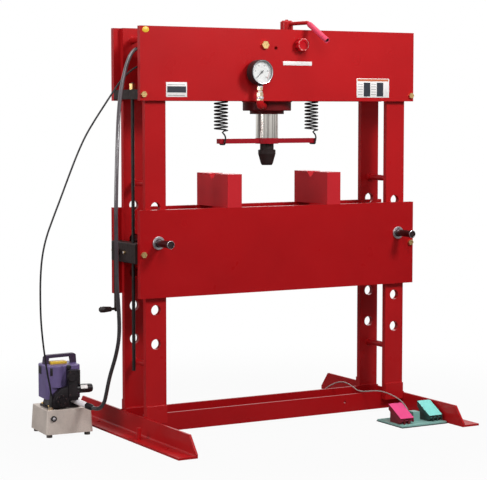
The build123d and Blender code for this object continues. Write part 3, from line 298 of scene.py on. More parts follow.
M = {
    "red": enamel("red_enamel", RED),
    "table_red": enamel("table_enamel", TABLE_RED),
    "block_red": enamel("press_block_enamel", rgb(204, 42, 50)),
    "knob_red": enamel("knob_enamel", rgb(196, 24, 34), 0.2),
    # Painted shade: the spring bar is a darker red because it hangs in shade.
    "shaded_bar_red": enamel("spring_bar_shaded_enamel", rgb(164, 26, 38)),
    "lever_red": enamel("lever_sleeve_enamel", rgb(226, 74, 104), 0.3),
    # Painted highlight: a light pink ring on the knob's rim.
    "knob_highlight_pink": enamel("knob_rim_painted_highlight", rgb(240, 176, 170), 0.25),
    "black": black_paint("black_paint", BLACK),
    "pin": metal("black_oxide", rgb(84, 68, 70), 0.34),
    # Painted shade: the cylinder and its collar under the head are a darker red than the frame.
    "cylinder": enamel("cylinder_shaded_enamel", rgb(104, 16, 20), 0.4),
    "screw": metal("lift_screw_steel", rgb(70, 68, 68), 0.42),
    "steel": metal("bright_steel", rgb(214, 212, 216), 0.3),
    "white_steel": metal("plated_sleeve", rgb(246, 242, 246), 0.36),
    "spring": metal("spring_steel", rgb(62, 60, 62), 0.33, scale=500),
    "chrome": chrome("hard_chrome"),
    "zinc": metal("yellow_zinc", ZINC, 0.3, scale=300),
    "brass": metal("turned_brass", rgb(226, 206, 176), 0.3, (1, 1, 12)),
    "case": black_paint("gauge_case_paint", rgb(40, 38, 38), 0.35),
    "plastic": moulded("black_plastic", rgb(24, 18, 22), 0.34),
    "grip": moulded("grip_plastic", rgb(40, 30, 28), 0.35, 0.12),
    "dial": printed("dial_face", rgb(254, 254, 252)),
    "needle": moulded("needle_paint", rgb(20, 20, 22), 0.4, 0.05),
    "glass": clear_glass("gauge_glass"),
    "tank": cast_alloy("tank_casting", rgb(222, 208, 198)),
    "casting": black_paint("pump_casting_paint", rgb(26, 20, 24), 0.45),
    "shroud": two_tone("shroud_plastic", rgb(112, 96, 146), rgb(60, 42, 70), 0.314, "Z"),
    "rubber": moulded("foot_rubber", rgb(96, 88, 84), 0.7, 0.5),
    "hose": hose_cover("hose_rubber", rgb(22, 17, 20)),
    "cable": moulded("cable_sheath", rgb(30, 30, 32), 0.4, 0.1),
    "thin_cable": moulded("thin_cable_sheath", rgb(168, 156, 152), 0.45, 0.1),
    "pedal_base": moulded("pedal_base_paint", rgb(140, 188, 180), 0.4),
    "housing": two_tone("pedal_housing_paint", rgb(110, 10, 24), rgb(48, 64, 60), 0.552),
    # Painted light and shade on the pedals: bright tops, dark sides.
    "pedal_red": topped("pedal_red_paint", rgb(244, 70, 140), rgb(124, 14, 36)),
    "pedal_green": topped("pedal_green_paint", rgb(140, 236, 226), rgb(44, 70, 66)),
    "ink": printed("black_ink", rgb(30, 30, 34), 0.5),
    "red_ink": printed("red_ink", rgb(190, 40, 40), 0.5),
    "plate": printed("white_plate", rgb(252, 248, 246)),
    "plate_dark": printed("dark_plate_field", rgb(44, 48, 58)),
    "plate_head": printed("plate_header", rgb(214, 116, 78)),
    "yellow": printed("yellow_disc", rgb(244, 200, 60)),
    # Painted reflection: the steel coupler sleeve is a matte white for its bright reflection.
    "sleeve": printed("sleeve_painted_reflection_white", rgb(252, 244, 248), 0.25),
}

LOOK = {
    "red": (
        "head_plate_front head_plate_back column_front_left column_front_right column_back_left"
        " column_back_right column_tie_bars foot_left foot_right"
        " cylinder_seat gauge_pipe valve_lever"
    ),
    "table_red": "table_plate_front table_plate_back plate_spacers beam_front beam_back",
    "block_red": "press_block_left press_block_right",
    "cylinder": "cylinder_body cylinder_collar",
    "shaded_bar_red": "spring_bar",
    "black": "lift_hanger lift_gearbox crank_arm ram_nose valve_block spring_anchors pressure_switch",
    "pin": "table_pin_left table_pin_right",
    "knob_red": "release_knob",
    "screw": "lift_screw",
    "steel": "pin_rings pump_coupler hose_ferrules",
    "spring": "return_spring_left return_spring_right",
    "chrome": "ram",
    "zinc": "frame_fasteners",
    "brass": "gauge_stem pump_fittings",
    "case": "gauge_case",
    "plastic": "pump_valve",
    "grip": "crank_grip",
    "dial": "gauge_dial",
    "needle": "gauge_needle",
    "glass": "gauge_lens",
    "tank": "pump_tank",
    "casting": "pump_body",
    "shroud": "pump_shroud",
    "rubber": "pump_feet",
    "hose": "hydraulic_hose",
    "cable": "control_cable",
    "thin_cable": "pedal_cable",
    "pedal_base": "pedal_base",
    "housing": "pedal_housings",
    "pedal_red": "pedal_left",
    "pedal_green": "pedal_right",
}


# Width of the broken edges, in millimetres
BROKEN = {
    1.6: (
        "head_plate_front head_plate_back table_plate_front table_plate_back"
        " press_block_left press_block_right"
    ),
    1.5: "lift_hanger lift_gearbox",
    1.2: (
        "column_front_left column_front_right column_back_left column_back_right foot_left foot_right"
        " release_knob"
    ),
    1.0: "beam_front beam_back cylinder_seat spring_bar pressure_switch",
    0.8: "crank_arm pump_body pump_valve pedal_base pedal_left pedal_right",
    0.6: "frame_fasteners",
    0.5: "gauge_stem",
}


def dress_nodes():
    """Each node gets its finish, and plates and blocks get slightly broken edges."""
    for look, names in LOOK.items():
        for name in names.split():
            materials = NODES[name].data.materials
            materials.clear()
            materials.append(M[look])
    for width, names in BROKEN.items():
        for name in names.split():
            bevel = NODES[name].modifiers.new("broken_edges", "BEVEL")
            bevel.width = width * MM
            bevel.segments = 2
            bevel.limit_method = "ANGLE"
            bevel.angle_limit = radians(40)
            bevel.harden_normals = False


dress_nodes()


# Pieces
def add_mesh(name, bm, look, body, smooth=40):
    """A mesh object from bm; it rides on body, or on nothing where no body is given."""
    mesh = bpy.data.meshes.new(name)
    bm.normal_update()
    bm.to_mesh(mesh)
    bm.free()
    mesh.materials.append(M[look])
    for face in mesh.polygons:
        face.use_smooth = True
    mesh.set_sharp_from_angle(angle=radians(smooth))
    piece = bpy.data.objects.new(name, mesh)
    bpy.context.scene.collection.objects.link(piece)
    if body:
        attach(piece, body)
    return piece


def add_slab(bm, low, high, edge=0.0):
    """A box between two corners, with rounded edges where edge is given."""
    low = Vector(low)
    high = Vector(high)
    made = bmesh.ops.create_cube(bm, size=1)["verts"]
    size = high - low
    bmesh.ops.scale(bm, vec=size, verts=made)
    bmesh.ops.translate(bm, vec=(low + high) / 2, verts=made)
    if edge:
        edges = list({e for v in made for e in v.link_edges})
        bmesh.ops.bevel(bm, geom=edges, offset=edge, segments=2, affect="EDGES", profile=0.5)


def add_turned(bm, origin, axis, profile, steps=48):
    """A turned form: profile is (distance along the axis, radius) from end to end."""
    turn = Vector((0, 0, 1)).rotation_difference(Vector(axis)).to_matrix()
    rings = []
    for along, radius in profile:
        ring = []
        for n in range(steps):
            a = 2 * pi * n / steps
            spot = turn @ Vector((radius * cos(a), radius * sin(a), along))
            ring.append(bm.verts.new(Vector(origin) + spot))
        rings.append(ring)
    for low, high in zip(rings, rings[1:]):
        for n in range(steps):
            m = (n + 1) % steps
            bm.faces.new((low[n], low[m], high[m], high[n]))
    bm.faces.new(list(reversed(rings[0])))
    bm.faces.new(rings[-1])


def add_ring(bm, origin, axis, profile, steps=64):
    """A closed profile of (distance along the axis, radius) swept all the way round the axis."""
    turn = Vector((0, 0, 1)).rotation_difference(Vector(axis)).to_matrix()
    rows = []
    for n in range(steps):
        a = 2 * pi * n / steps
        spots = [turn @ Vector((r * cos(a), r * sin(a), t)) for t, r in profile]
        rows.append([bm.verts.new(Vector(origin) + spot) for spot in spots])
    made = []
    for n in range(steps):
        here, there = rows[n], rows[(n + 1) % steps]
        for k in range(len(profile)):
            m = (k + 1) % len(profile)
            made.append(bm.faces.new((here[k], there[k], there[m], here[m])))
    bmesh.ops.recalc_face_normals(bm, faces=made)


def add_band(bm, centre, inner, outer, start, end, steps=48):
    """A flat printed band on a face that looks to the front, between two angles."""
    rows = []
    for n in range(steps + 1):
        a = radians(start + (end - start) * n / steps)
        out = Vector((cos(a), 0, sin(a)))
        row = []
        for r, y in ((inner, 0), (inner, -PRINT_LIFT), (outer, -PRINT_LIFT), (outer, 0)):
            row.append(bm.verts.new(centre + out * r + Vector((0, y, 0))))
        rows.append(row)
    for a, b in zip(rows, rows[1:]):
        for k in range(3):
            bm.faces.new((a[k], b[k], b[k + 1], a[k + 1]))
    bm.faces.new(rows[0])
    bm.faces.new(list(reversed(rows[-1])))


def strand(name, points, diameter, look, body):
    """A round cord on a smooth NURBS line through its route's control points."""
    curve = bpy.data.curves.new(name, "CURVE")
    curve.dimensions = "3D"
    spline = curve.splines.new("NURBS")
    spline.points.add(len(points) - 1)
    for spot, point in zip(spline.points, points):
        spot.co = (*[c * MM for c in point], 1)
    spline.order_u = 3
    spline.use_endpoint_u = True
    curve.resolution_u = 8
    curve.bevel_depth = diameter / 2 * MM
    curve.bevel_resolution = 5
    curve.use_fill_caps = True
    curve.materials.append(M[look])
    piece = bpy.data.objects.new(name, curve)
    bpy.context.scene.collection.objects.link(piece)
    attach(piece, body)
    return piece


def wire_mesh(name, points, radius, look, body, steps=10):
    """A tube along close points, as a mesh, its rings turned smoothly along the line."""
    bm = bmesh.new()
    side = Vector((0, 1, 0.01))
    rings = []
    for n, point in enumerate(points):
        ahead = Vector(points[min(n + 1, len(points) - 1)])
        behind = Vector(points[max(n - 1, 0)])
        along = (ahead - behind).normalized()
        side = (side - along * side.dot(along)).normalized()
        across = along.cross(side)
        size = radius[n] if isinstance(radius, list) else radius
        ring = []
        for k in range(steps):
            a = 2 * pi * k / steps
            ring.append(bm.verts.new(Vector(point) + (side * cos(a) + across * sin(a)) * size))
        rings.append(ring)
    for low, high in zip(rings, rings[1:]):
        for k in range(steps):
            m = (k + 1) % steps
            bm.faces.new((low[k], low[m], high[m], high[k]))
    bm.faces.new(list(reversed(rings[0])))
    bm.faces.new(rings[-1])
    bmesh.ops.recalc_face_normals(bm, faces=bm.faces)
    return add_mesh(name, bm, look, body, 60)


# Return springs
def lower_hook(x, bar_low, bar_high, coil_low, wire_r):
    """From the wire's free end behind the bar, under it and up in front of it to the coil."""
    half_bar = 0.016
    reach = half_bar + wire_r + 0.004
    under = bar_low - wire_r - 0.0003
    corner = 0.0075
    tail_step = 0.003
    points = [(x, reach, bar_high - 0.006 + tail_step * n) for n in range(0, -5, -1)]
    for n in range(7):
        a = pi / 2 * n / 6
        points.append((x, reach - corner + corner * cos(a), under + corner - corner * sin(a)))
    for n in range(7):
        a = pi / 2 * (1 - n / 6)
        points.append((x, corner - reach - corner * cos(a), under + corner - corner * sin(a)))
    foot = bar_low + 0.006
    rise = coil_low - 0.008 - foot
    for n in range(13):
        t = n / 12
        lean = 0.003 * sin(pi * t) - 0.015 * t ** 4
        points.append((x + lean, -reach - 0.0035 * t, foot + rise * t))
    return points


def upper_hook(x, coil_r, coil_high, rod_z, rod_r, wire_r):
    """From the coil's last turn inward and over the anchor rod."""
    loop = rod_r + wire_r + 0.0012
    points = [(x - 0.007, coil_r * 0.86, coil_high + 0.004)]
    points.append((x - loop + 0.001, coil_r * 0.5, coil_high + 0.012))
    for n in range(15):
        a = pi - 1.15 * pi * n / 14
        points.append((x + loop * cos(a), 0, rod_z + loop * sin(a)))
    return points


def springs():
    """Round wire on the route of each spring: hook under the bar, coil, hook over the rod."""
    wire_r = 0.0035
    turns = 15.5
    pitch = 0.016
    steps = int(turns * 28)
    hub_rim = 0.002      # the bar's hub stands this far past its faces
    hook_aside = 0.007   # the lower hook hangs beside the coil's middle
    bar_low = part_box("spring_bar")[0][2] + hub_rim
    bar_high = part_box("spring_bar")[1][2] - hub_rim
    rod_low, rod_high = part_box("spring_anchors")
    rod_z = middle("spring_anchors")[2]
    rod_r = (rod_high[2] - rod_low[2]) / 2
    for side in ("left", "right"):
        node = "return_spring_" + side
        low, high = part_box(node)
        x = middle(node)[0]
        coil_r = (high[0] - low[0]) / 2 - wire_r
        coil_high = rod_z - rod_r - coil_r
        coil_low = coil_high - turns * pitch
        points = lower_hook(x + hook_aside, bar_low, bar_high, coil_low, wire_r)
        for n in range(steps + 1):
            share = n / steps
            a = 2 * pi * turns * share - pi / 2
            z = coil_low + (coil_high - coil_low) * share
            points.append((x + coil_r * cos(a), coil_r * sin(a), z))
        points += upper_hook(x, coil_r, coil_high, rod_z, rod_r, wire_r)
        piece = wire_mesh(node + "_wire", points, wire_r, "spring", None)
        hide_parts(node)
        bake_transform(piece)


# Lift screw
def lift_thread():
    """A trapezoidal thread along the lift screw, as one helical surface."""
    low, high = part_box("lift_screw")
    x, y, _ = middle("lift_screw")
    radius = (high[0] - low[0]) / 2
    pitch = 0.004
    depth = 0.0011
    end_gap = 0.002
    steps = 16
    profile = ((0.0, radius - depth), (0.18, radius), (0.5, radius), (0.68, radius - depth))
    turns = int((high[2] - low[2] - 2 * end_gap) / pitch) - 1
    bm = bmesh.new()
    rows = []
    for n in range(turns * steps + 1):
        a = 2 * pi * n / steps
        z = low[2] + end_gap + pitch * n / steps
        row = []
        for along, r in profile:
            row.append(bm.verts.new((x + r * cos(a), y + r * sin(a), z + along * pitch)))
        rows.append(row)
    for n in range(len(rows) - 1):
        for k in range(3):
            bm.faces.new((rows[n][k], rows[n + 1][k], rows[n + 1][k + 1], rows[n][k + 1]))
        if n + steps + 1 < len(rows):
            bm.faces.new((rows[n][3], rows[n + 1][3], rows[n + 1 + steps][0], rows[n + steps][0]))
    core = radius - depth * 0.5
    chamfer = 0.001
    foot = [(low[2], core - chamfer), (low[2] + chamfer, core), (low[2] + 0.006, core)]
    tip = [(high[2] - 0.010, core), (high[2] - chamfer, core), (high[2], core - chamfer)]
    for end in (foot, tip):
        add_turned(bm, (x, y, 0), UP, end, 24)
    piece = add_mesh("lift_thread", bm, "screw", "frame", 30)
    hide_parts("lift_screw")


# Gauge
DIAL_START = 225     # degrees from the right; the scale runs clockwise from here
DIAL_SWEEP = 270
DIAL_END = DIAL_START - DIAL_SWEEP


def dial_centre():
    x, _, z = middle("gauge_dial")
    return Vector((x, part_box("gauge_dial")[0][1], z))


def add_tick(bm, centre, angle, inner, outer, wide):
    """A scale mark from the inner to the outer radius, with sides down to the dial."""
    out = Vector((cos(angle), 0, sin(angle)))
    across = Vector((-sin(angle), 0, cos(angle))) * wide
    corners = [centre + out * inner - across, centre + out * outer - across]
    corners += [centre + out * outer + across, centre + out * inner + across]
    face = [bm.verts.new(c + Vector((0, -PRINT_LIFT, 0))) for c in corners]
    back = [bm.verts.new(c) for c in corners]
    bm.faces.new(face)
    for k in range(4):
        m = (k + 1) % 4
        bm.faces.new((face[m], face[k], back[k], back[m]))


def dial_number(index, value, spot):
    """One plain number as a flat mesh, centred on its spot."""
    name = "dial_number_%d" % index
    words = bpy.data.curves.new("dial_number", "FONT")
    words.body = str(value)
    words.size = 0.0088
    words.align_x = "CENTER"
    words.align_y = "CENTER"
    words.extrude = PRINT_LIFT / 2
    text = bpy.data.objects.new(name, words)
    stand = Matrix.Translation(spot + Vector((0, -PRINT_LIFT / 2, 0)))
    text.matrix_world = stand @ Matrix.Rotation(pi / 2, 4, "X")
    bpy.context.scene.collection.objects.link(text)
    bpy.context.view_layer.update()
    shape = bpy.data.meshes.new_from_object(text)
    shape.transform(text.matrix_world)
    bpy.data.objects.remove(text)
    shape.materials.clear()
    shape.materials.append(M["ink"])
    piece = bpy.data.objects.new(name, shape)
    bpy.context.scene.collection.objects.link(piece)
    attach(piece, "frame")


def gauge_face():
    """Scale marks, a red arc and plain numbers on the dial."""
    centre = dial_centre()
    marks = 50
    numbers = 5
    top_value = 100
    tick_r = 0.0455
    number_r = 0.0318
    bm = bmesh.new()
    for n in range(marks + 1):
        angle = radians(DIAL_START - DIAL_SWEEP * n / marks)
        length, wide = (0.0065, 0.0006) if n % 10 == 0 else (0.0035, 0.0003)
        add_tick(bm, centre, angle, tick_r - length, tick_r, wide)
    add_band(bm, centre, 0.0462, 0.0468, DIAL_START, DIAL_END)
    bmesh.ops.recalc_face_normals(bm, faces=bm.faces)
    add_mesh("dial_marks", bm, "ink", "frame")
    red_start = 9
    bm = bmesh.new()
    add_band(bm, centre, 0.0380, 0.0396, red_start, DIAL_END)
    bmesh.ops.recalc_face_normals(bm, faces=bm.faces)
    add_mesh("dial_red_arc", bm, "red_ink", "frame")
    for n in range(numbers + 1):
        a = radians(DIAL_START - DIAL_SWEEP * n / numbers)
        spot = centre + Vector((cos(a), 0, sin(a))) * number_r
        dial_number(n, n * top_value // numbers, spot)


def gauge_trim():
    """A light bezel inside the case's rim, and the collars on the stem."""
    centre = dial_centre()
    rim_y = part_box("gauge_case")[0][1] + 0.0025
    bezel = [(0, 0.0488), (0, 0.0522), (0.0030, 0.0522), (0.0036, 0.0512), (0.0030, 0.0490)]
    bm = bmesh.new()
    add_ring(bm, (centre[0], rim_y, centre[2]), FORWARD, bezel)
    add_mesh("gauge_bezel", bm, "steel", "frame")
    y = middle("gauge_stem")[1]
    collars = (
        (1.4830, [(0, 0.0150), (0.002, 0.0172), (0.010, 0.0172), (0.012, 0.0150)]),
        (1.5125, [(0, 0.0105), (0.0012, 0.0125), (0.0045, 0.0125), (0.0058, 0.0105)]),
        (1.5350, [(0, 0.0110), (0.0012, 0.0140), (0.0050, 0.0140), (0.0062, 0.0110)]),
    )
    bm = bmesh.new()
    for z, profile in collars:
        add_turned(bm, (centre[0], y, z), UP, profile, 32)
    add_mesh("gauge_stem_collars", bm, "white_steel", "frame")


# Plates on the head: places on its front face as (left, right, low, high)
DATA_PLATE = (-0.591, -0.489, 1.491, 1.555)
DATA_BAND = (-0.586, -0.494, 1.510, 1.537)
CHART = (0.395, 0.576, 1.492, 1.580)
CHART_HEADER = (0.399, 0.572, 1.567, 1.577)
STRIP = (-0.001, 0.151, 1.635, 1.653)
RULE = 0.0015        # height of a ruled line


def add_label(bm, place, back, front, edge=0.0):
    """A thin slab in front of the head's face, between two distances from it."""
    left, right, low, high = place
    add_slab(bm, (left, HEAD_FRONT - front, low), (right, HEAD_FRONT - back, high), edge)


def head_print(name, places, look):
    """Printed fields, just proud of the plates."""
    bm = bmesh.new()
    for place in places:
        add_label(bm, place, 0.0008, 0.0012)
    add_mesh(name, bm, look, "frame")


def head_plates():
    """Plain plates: a data plate with an empty dark band, a ruled chart and a white strip."""
    bm = bmesh.new()
    for place in (DATA_PLATE, CHART, STRIP):
        add_label(bm, place, 0, 0.001, 0.0003)
    add_mesh("head_white_plates", bm, "plate", "frame")
    fields = [DATA_BAND]
    for n in range(2):
        left = 0.434 + n * 0.073
        fields.append((left, left + 0.036, 1.497, 1.561))
    head_print("head_plate_fields", fields, "plate_dark")
    head_print("head_plate_header", [CHART_HEADER], "plate_head")
    rules = []
    for n in range(5):
        z = 1.505 + n * 0.012
        rules.append((0.402, 0.428, z, z + RULE))
        rules.append((0.475, 0.502, z, z + RULE))
    for n in range(2):
        z = 1.497 + n * 0.046
        rules.append((-0.584, -0.50, z, z + RULE))
    head_print("head_plate_rules", rules, "ink")
    disc_at = (-0.688, HEAD_FRONT, 1.779)
    flatten = 0.76
    bm = bmesh.new()
    add_turned(bm, (0, 0, 0), FORWARD, [(0, 0.0165), (0.0007, 0.0165), (0.001, 0.016)], 40)
    bmesh.ops.scale(bm, vec=(1, 1, flatten), verts=bm.verts)
    bmesh.ops.translate(bm, vec=disc_at, verts=bm.verts)
    add_mesh("head_yellow_disc", bm, "yellow", "frame")


# Welds
def weld(name, points, radius, look, seed=0.0):
    """A fillet weld: a bead along a seam, with small regular ripples."""
    line = []
    size = []
    step = 0.0035
    for a, b in zip(points, points[1:]):
        a = Vector(a)
        b = Vector(b)
        count = max(2, int((b - a).length / step))
        for n in range(count):
            line.append(a.lerp(b, n / count))
    line.append(Vector(points[-1]))
    for n in range(len(line)):
        ripple = 0.09 * sin(n * 2.1 + seed) + 0.05 * sin(n * 0.37 + 2 * seed)
        size.append(radius * (1 + ripple))
    return wire_mesh(name, line, size, look, "frame", 8)


def circle(centre, radius, axis, steps):
    """Points all round a centre, in the plane across the z or the y axis."""
    spots = []
    for n in range(steps + 1):
        a = radians(360 * n / steps)
        c = radius * cos(a)
        s = radius * sin(a)
        shift = (c, s, 0) if axis == "z" else (c, 0, s)
        spots.append(tuple(at + move for at, move in zip(centre, shift)))
    return spots


def column_welds():
    """At each column bar's foot: over its pad, on the foot's edge, at the heel and on the beam."""
    pad = 0.008
    pad_top = 0.138
    foot_top = 0.0915
    beam_top = 0.0995
    beam_y = 0.095
    for n, column in enumerate(("front_left", "front_right", "back_left", "back_right")):
        low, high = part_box("column_" + column)
        front = column.startswith("front")
        side = -1 if "left" in column else 1
        face = low[1] if front else high[1]
        bar = face + pad if front else face - pad
        outer = low[0] if "left" in column else high[0]
        beam = -beam_y if front else beam_y
        heel = face + (0.002 if front else -0.002)
        seams = (
            ("pad", 0.004, (low[0] + 0.004, bar, pad_top), (high[0] - 0.004, bar, pad_top)),
            ("foot", 0.003, (outer + side * 0.009, bar, foot_top), (outer + side * 0.001, bar, foot_top)),
            ("heel", 0.0035, (outer, heel, 0.066), (outer, heel, 0.089)),
            ("tie", 0.003, (outer - side * 0.004, beam, beam_top), (outer - side * 0.096, beam, beam_top)),
        )
        for kind, radius, start, end in seams:
            weld("weld_%s_%d" % (kind, n), [start, end], radius, "red", n)


def tie_bar_welds():
    """Round each end of the columns' tie bars; says how many there are."""
    low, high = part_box("column_tie_bars")
    tie_r = 0.0135
    middle = 1.112
    plate = 0.0945
    n = 0
    for side in (-1, 1):
        x = side * (high[0] - tie_r)
        for z in (low[2] + tie_r, middle, high[2] - tie_r):
            for end in (-1, 1):
                loop = circle((x, end * plate, z), tie_r + 0.001, "y", 20)
                weld("weld_bar_%d" % n, loop, 0.003, "red", n)
                n += 1
    return n


def block_welds(n):
    """A short seam at the foot of each end of the press blocks, numbered on from n."""
    for side in ("left", "right"):
        low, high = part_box("press_block_" + side)
        z = low[2] + 0.0010
        for x in (low[0], high[0]):
            seam = [(x, low[1] + 0.006, z), (x, low[1] + 0.022, z)]
            weld("weld_block_%s_%d" % (side, n), seam, 0.0018, "table_red", n)
            n += 1


def welds():
    column_welds()
    low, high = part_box("cylinder_collar")
    radius = (high[0] - low[0]) / 2
    weld("weld_collar", circle((0, 0, high[2] - 0.001), radius + 0.0005, "z", 24), 0.004, "red")
    block_welds(tie_bar_welds())


# Pump, drawn in its own axes: x across, -y to its front, z up
PUMP = Matrix.Translation((-0.948, 0.189, 0)) @ Matrix.Rotation(radians(-4), 4, "Z")
SHROUD_TOP = 0.312
VALVE_FRONT = -0.094
COVER = Vector((-0.034, VALVE_FRONT, 0.164))   # round cover on the valve casting
KNOB = Vector((0.012, VALVE_FRONT, 0.262))
COIL_Y = -0.0823
COIL_Z = 0.207
SIGHT_GLASS = (-0.074, -0.104, 0.0856)


def pump_piece(name, bm, look, smooth=35):
    """A piece drawn in the pump's own axes, set in place."""
    bmesh.ops.transform(bm, matrix=PUMP, verts=bm.verts)
    bmesh.ops.recalc_face_normals(bm, faces=bm.faces)
    add_mesh(name, bm, look, "frame", smooth)


def add_prism(bm, outline, front, back, edge):
    """An outline in the pump's front view (across, up), carried from front to back, edges rounded."""
    made = bmesh.new()
    faces = [[made.verts.new((u, v, z)) for u, z in outline] for v in (front, back)]
    made.faces.new(faces[0])
    made.faces.new(list(reversed(faces[1])))
    for n in range(len(outline)):
        m = (n + 1) % len(outline)
        made.faces.new((faces[0][n], faces[1][n], faces[1][m], faces[0][m]))
    bmesh.ops.recalc_face_normals(made, faces=made.faces)
    bmesh.ops.bevel(made, geom=list(made.edges), offset=edge, segments=2, affect="EDGES", profile=0.5)
    mesh = bpy.data.meshes.new("prism")
    made.to_mesh(mesh)
    made.free()
    bm.from_mesh(mesh)
    bpy.data.meshes.remove(mesh)


def pump_cover_screws():
    """Four recessed screws that hold the cover on the tank."""
    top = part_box("pump_tank")[1][2] + 0.008
    head = [(0, 0.0055), (0.005, 0.0055), (0.006, 0.0048), (0.006, 0.0026), (0.0035, 0.0024)]
    bm = bmesh.new()
    for sx in (-1, 1):
        for sy in (-1, 1):
            add_turned(bm, (-0.005 + sx * 0.069, sy * 0.045, top), UP, head, 24)
    pump_piece("pump_cover_screws", bm, "zinc")


def pump_valve_casting():
    """The casting in front of the valve, its coil bracket, round cover and knob seat."""
    casting = [
        (-0.074, 0.130), (-0.074, 0.158), (-0.062, 0.190), (-0.034, 0.212), (0.002, 0.222), (0.002, 0.130),
    ]
    bracket = [(0.000, 0.158), (0.000, 0.182), (0.052, 0.182), (0.044, 0.158)]
    cover = [(0, 0.027), (0.008, 0.027), (0.010, 0.025), (0.010, 0.012), (0.014, 0.011)]
    knob_seat = [(0, 0.021), (0.010, 0.021), (0.012, 0.019)]
    bm = bmesh.new()
    add_prism(bm, casting, -0.096, -0.060, 0.003)
    add_prism(bm, bracket, VALVE_FRONT, -0.062, 0.002)
    add_turned(bm, COVER, FORWARD, cover, 40)
    add_turned(bm, KNOB, FORWARD, knob_seat, 40)
    pump_piece("pump_valve_casting", bm, "casting")


def pump_valve_bolts():
    """Six bolts round the cover, four on the block, and the knob's ring."""
    circle_r = 0.019
    small_head = [(0, 0.0034), (0.003, 0.0034), (0.0036, 0.0028)]
    large_head = [(0, 0.0040), (0.003, 0.0040), (0.0036, 0.0032)]
    knob_ring = [(0, 0.0125), (0, 0.0155), (0.0022, 0.0150), (0.0022, 0.0130)]
    bm = bmesh.new()
    for n in range(6):
        a = radians(60 * n + 15)
        at = COVER + Vector((circle_r * cos(a), -0.010, circle_r * sin(a)))
        add_turned(bm, at, FORWARD, small_head, 12)
    for u, z in ((0.006, 0.284), (0.048, 0.284), (0.006, 0.184), (0.048, 0.236)):
        add_turned(bm, (u, -0.0985, z), FORWARD, large_head, 12)
    add_ring(bm, KNOB + Vector((0, -0.012, 0)), FORWARD, knob_ring, 40)
    pump_piece("pump_valve_bolts", bm, "pin")


def pump_coil():
    """The coil's case, a plug on the shroud and its two clips."""
    case = [
        (0, 0.0180), (0.002, 0.0200), (0.050, 0.0200), (0.054, 0.0180), (0.058, 0.0180), (0.061, 0.0150),
    ]
    plug = [(0, 0.0110), (0.009, 0.0110), (0.010, 0.0095)]
    bm = bmesh.new()
    add_turned(bm, (0.052, COIL_Y, COIL_Z), (1, 0, 0), case, 40)
    add_turned(bm, (0.011, -0.060, 0.302), FORWARD, plug, 32)
    add_slab(bm, (-0.074, -0.0650, 0.268), (-0.056, -0.0620, 0.302), 0.0012)
    add_slab(bm, (-0.0930, 0.006, 0.268), (-0.0900, 0.042, 0.302), 0.0012)
    pump_piece("pump_coil_and_clips", bm, "plastic")


def pump_yellow_cover():
    bm = bmesh.new()
    add_slab(bm, (-0.056, -0.020, SHROUD_TOP - 0.001), (0.020, 0.020, SHROUD_TOP + 0.012), 0.003)
    pump_piece("pump_yellow_cover", bm, "yellow")


def pump_coil_plate():
    """A bare plate on the coil's case, tilted up to the front."""
    tilt = radians(28)
    reach = 0.0203
    at = Matrix.Translation((0.070, COIL_Y - reach * cos(tilt), COIL_Z + reach * sin(tilt)))
    bm = bmesh.new()
    add_slab(bm, (-0.016, -0.0006, -0.0085), (0.016, 0.0006, 0.0085), 0.0003)
    bmesh.ops.transform(bm, matrix=at @ Matrix.Rotation(-tilt, 4, "X"), verts=bm.verts)
    pump_piece("pump_coil_plate", bm, "plate")


def sight_glass():
    rim = [(0, 0.0070), (0, 0.0128), (0.0085, 0.0122), (0.0095, 0.0105), (0.0095, 0.0070)]
    lens = [(0, 0.0072), (0.0080, 0.0072), (0.0090, 0.0040)]
    bm = bmesh.new()
    add_ring(bm, SIGHT_GLASS, FORWARD, rim, 40)
    pump_piece("sight_glass_ring", bm, "plastic")
    bm = bmesh.new()
    add_turned(bm, SIGHT_GLASS, FORWARD, lens, 32)
    pump_piece("sight_glass_lens", bm, "white_steel")


def cable_boot():
    """The bend relief where the control cable leaves the tank's cover."""
    boot = [(0.134, 0.0096), (0.138, 0.0102), (0.160, 0.0096)]
    boot += [(0.172, 0.0072), (0.192, 0.0054), (0.192, 0.0043)]
    bm = bmesh.new()
    add_turned(bm, (-1.029, 0.1165, 0), UP, boot, 32)
    add_mesh("cable_boot", bm, "plastic", "frame")


def coupler_trim():
    """The sleeve on the coupler, a matte white as painted reflection of its bright steel, and the nut at
    the hose's end, on the line between them.
    """
    start = Vector((-0.928, 0.160, 0.158))
    hose_start = Vector((-0.880, 0.016, 0.134))
    way = (hose_start - start).normalized()
    sleeve = [(0.024, 0.0118), (0.026, 0.0132), (0.118, 0.0132), (0.120, 0.0122)]
    nut = [(0.121, 0.0140), (0.123, 0.0152), (0.148, 0.0152), (0.154, 0.0140), (0.160, 0.0100)]
    bm = bmesh.new()
    add_turned(bm, start, way, sleeve, 40)
    add_mesh("coupler_sleeve", bm, "sleeve", "frame", 25)
    bm = bmesh.new()
    add_turned(bm, start, way, nut, 6)
    add_mesh("hose_end_nut", bm, "casting", "frame", 25)


def gearbox_plug():
    """A painted glint: a bright white disc on the lift gearbox's outer side."""
    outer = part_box("lift_gearbox")[0][0]
    bm = bmesh.new()
    face = [(0, 0.0050), (0.0015, 0.0050), (0.0022, 0.0036)]
    add_turned(bm, (outer - 0.0055, -0.013, 0.812), (-1, 0, 0), face, 24)
    add_mesh("gearbox_painted_glint_disc", bm, "white_steel", "frame")


def pump_trim():
    """What sits on the pump and its hose and cables, and the painted glint on the gearbox."""
    pump_cover_screws()
    pump_valve_casting()
    pump_valve_bolts()
    pump_coil()
    pump_yellow_cover()
    pump_coil_plate()
    sight_glass()
    cable_boot()
    coupler_trim()
    gearbox_plug()


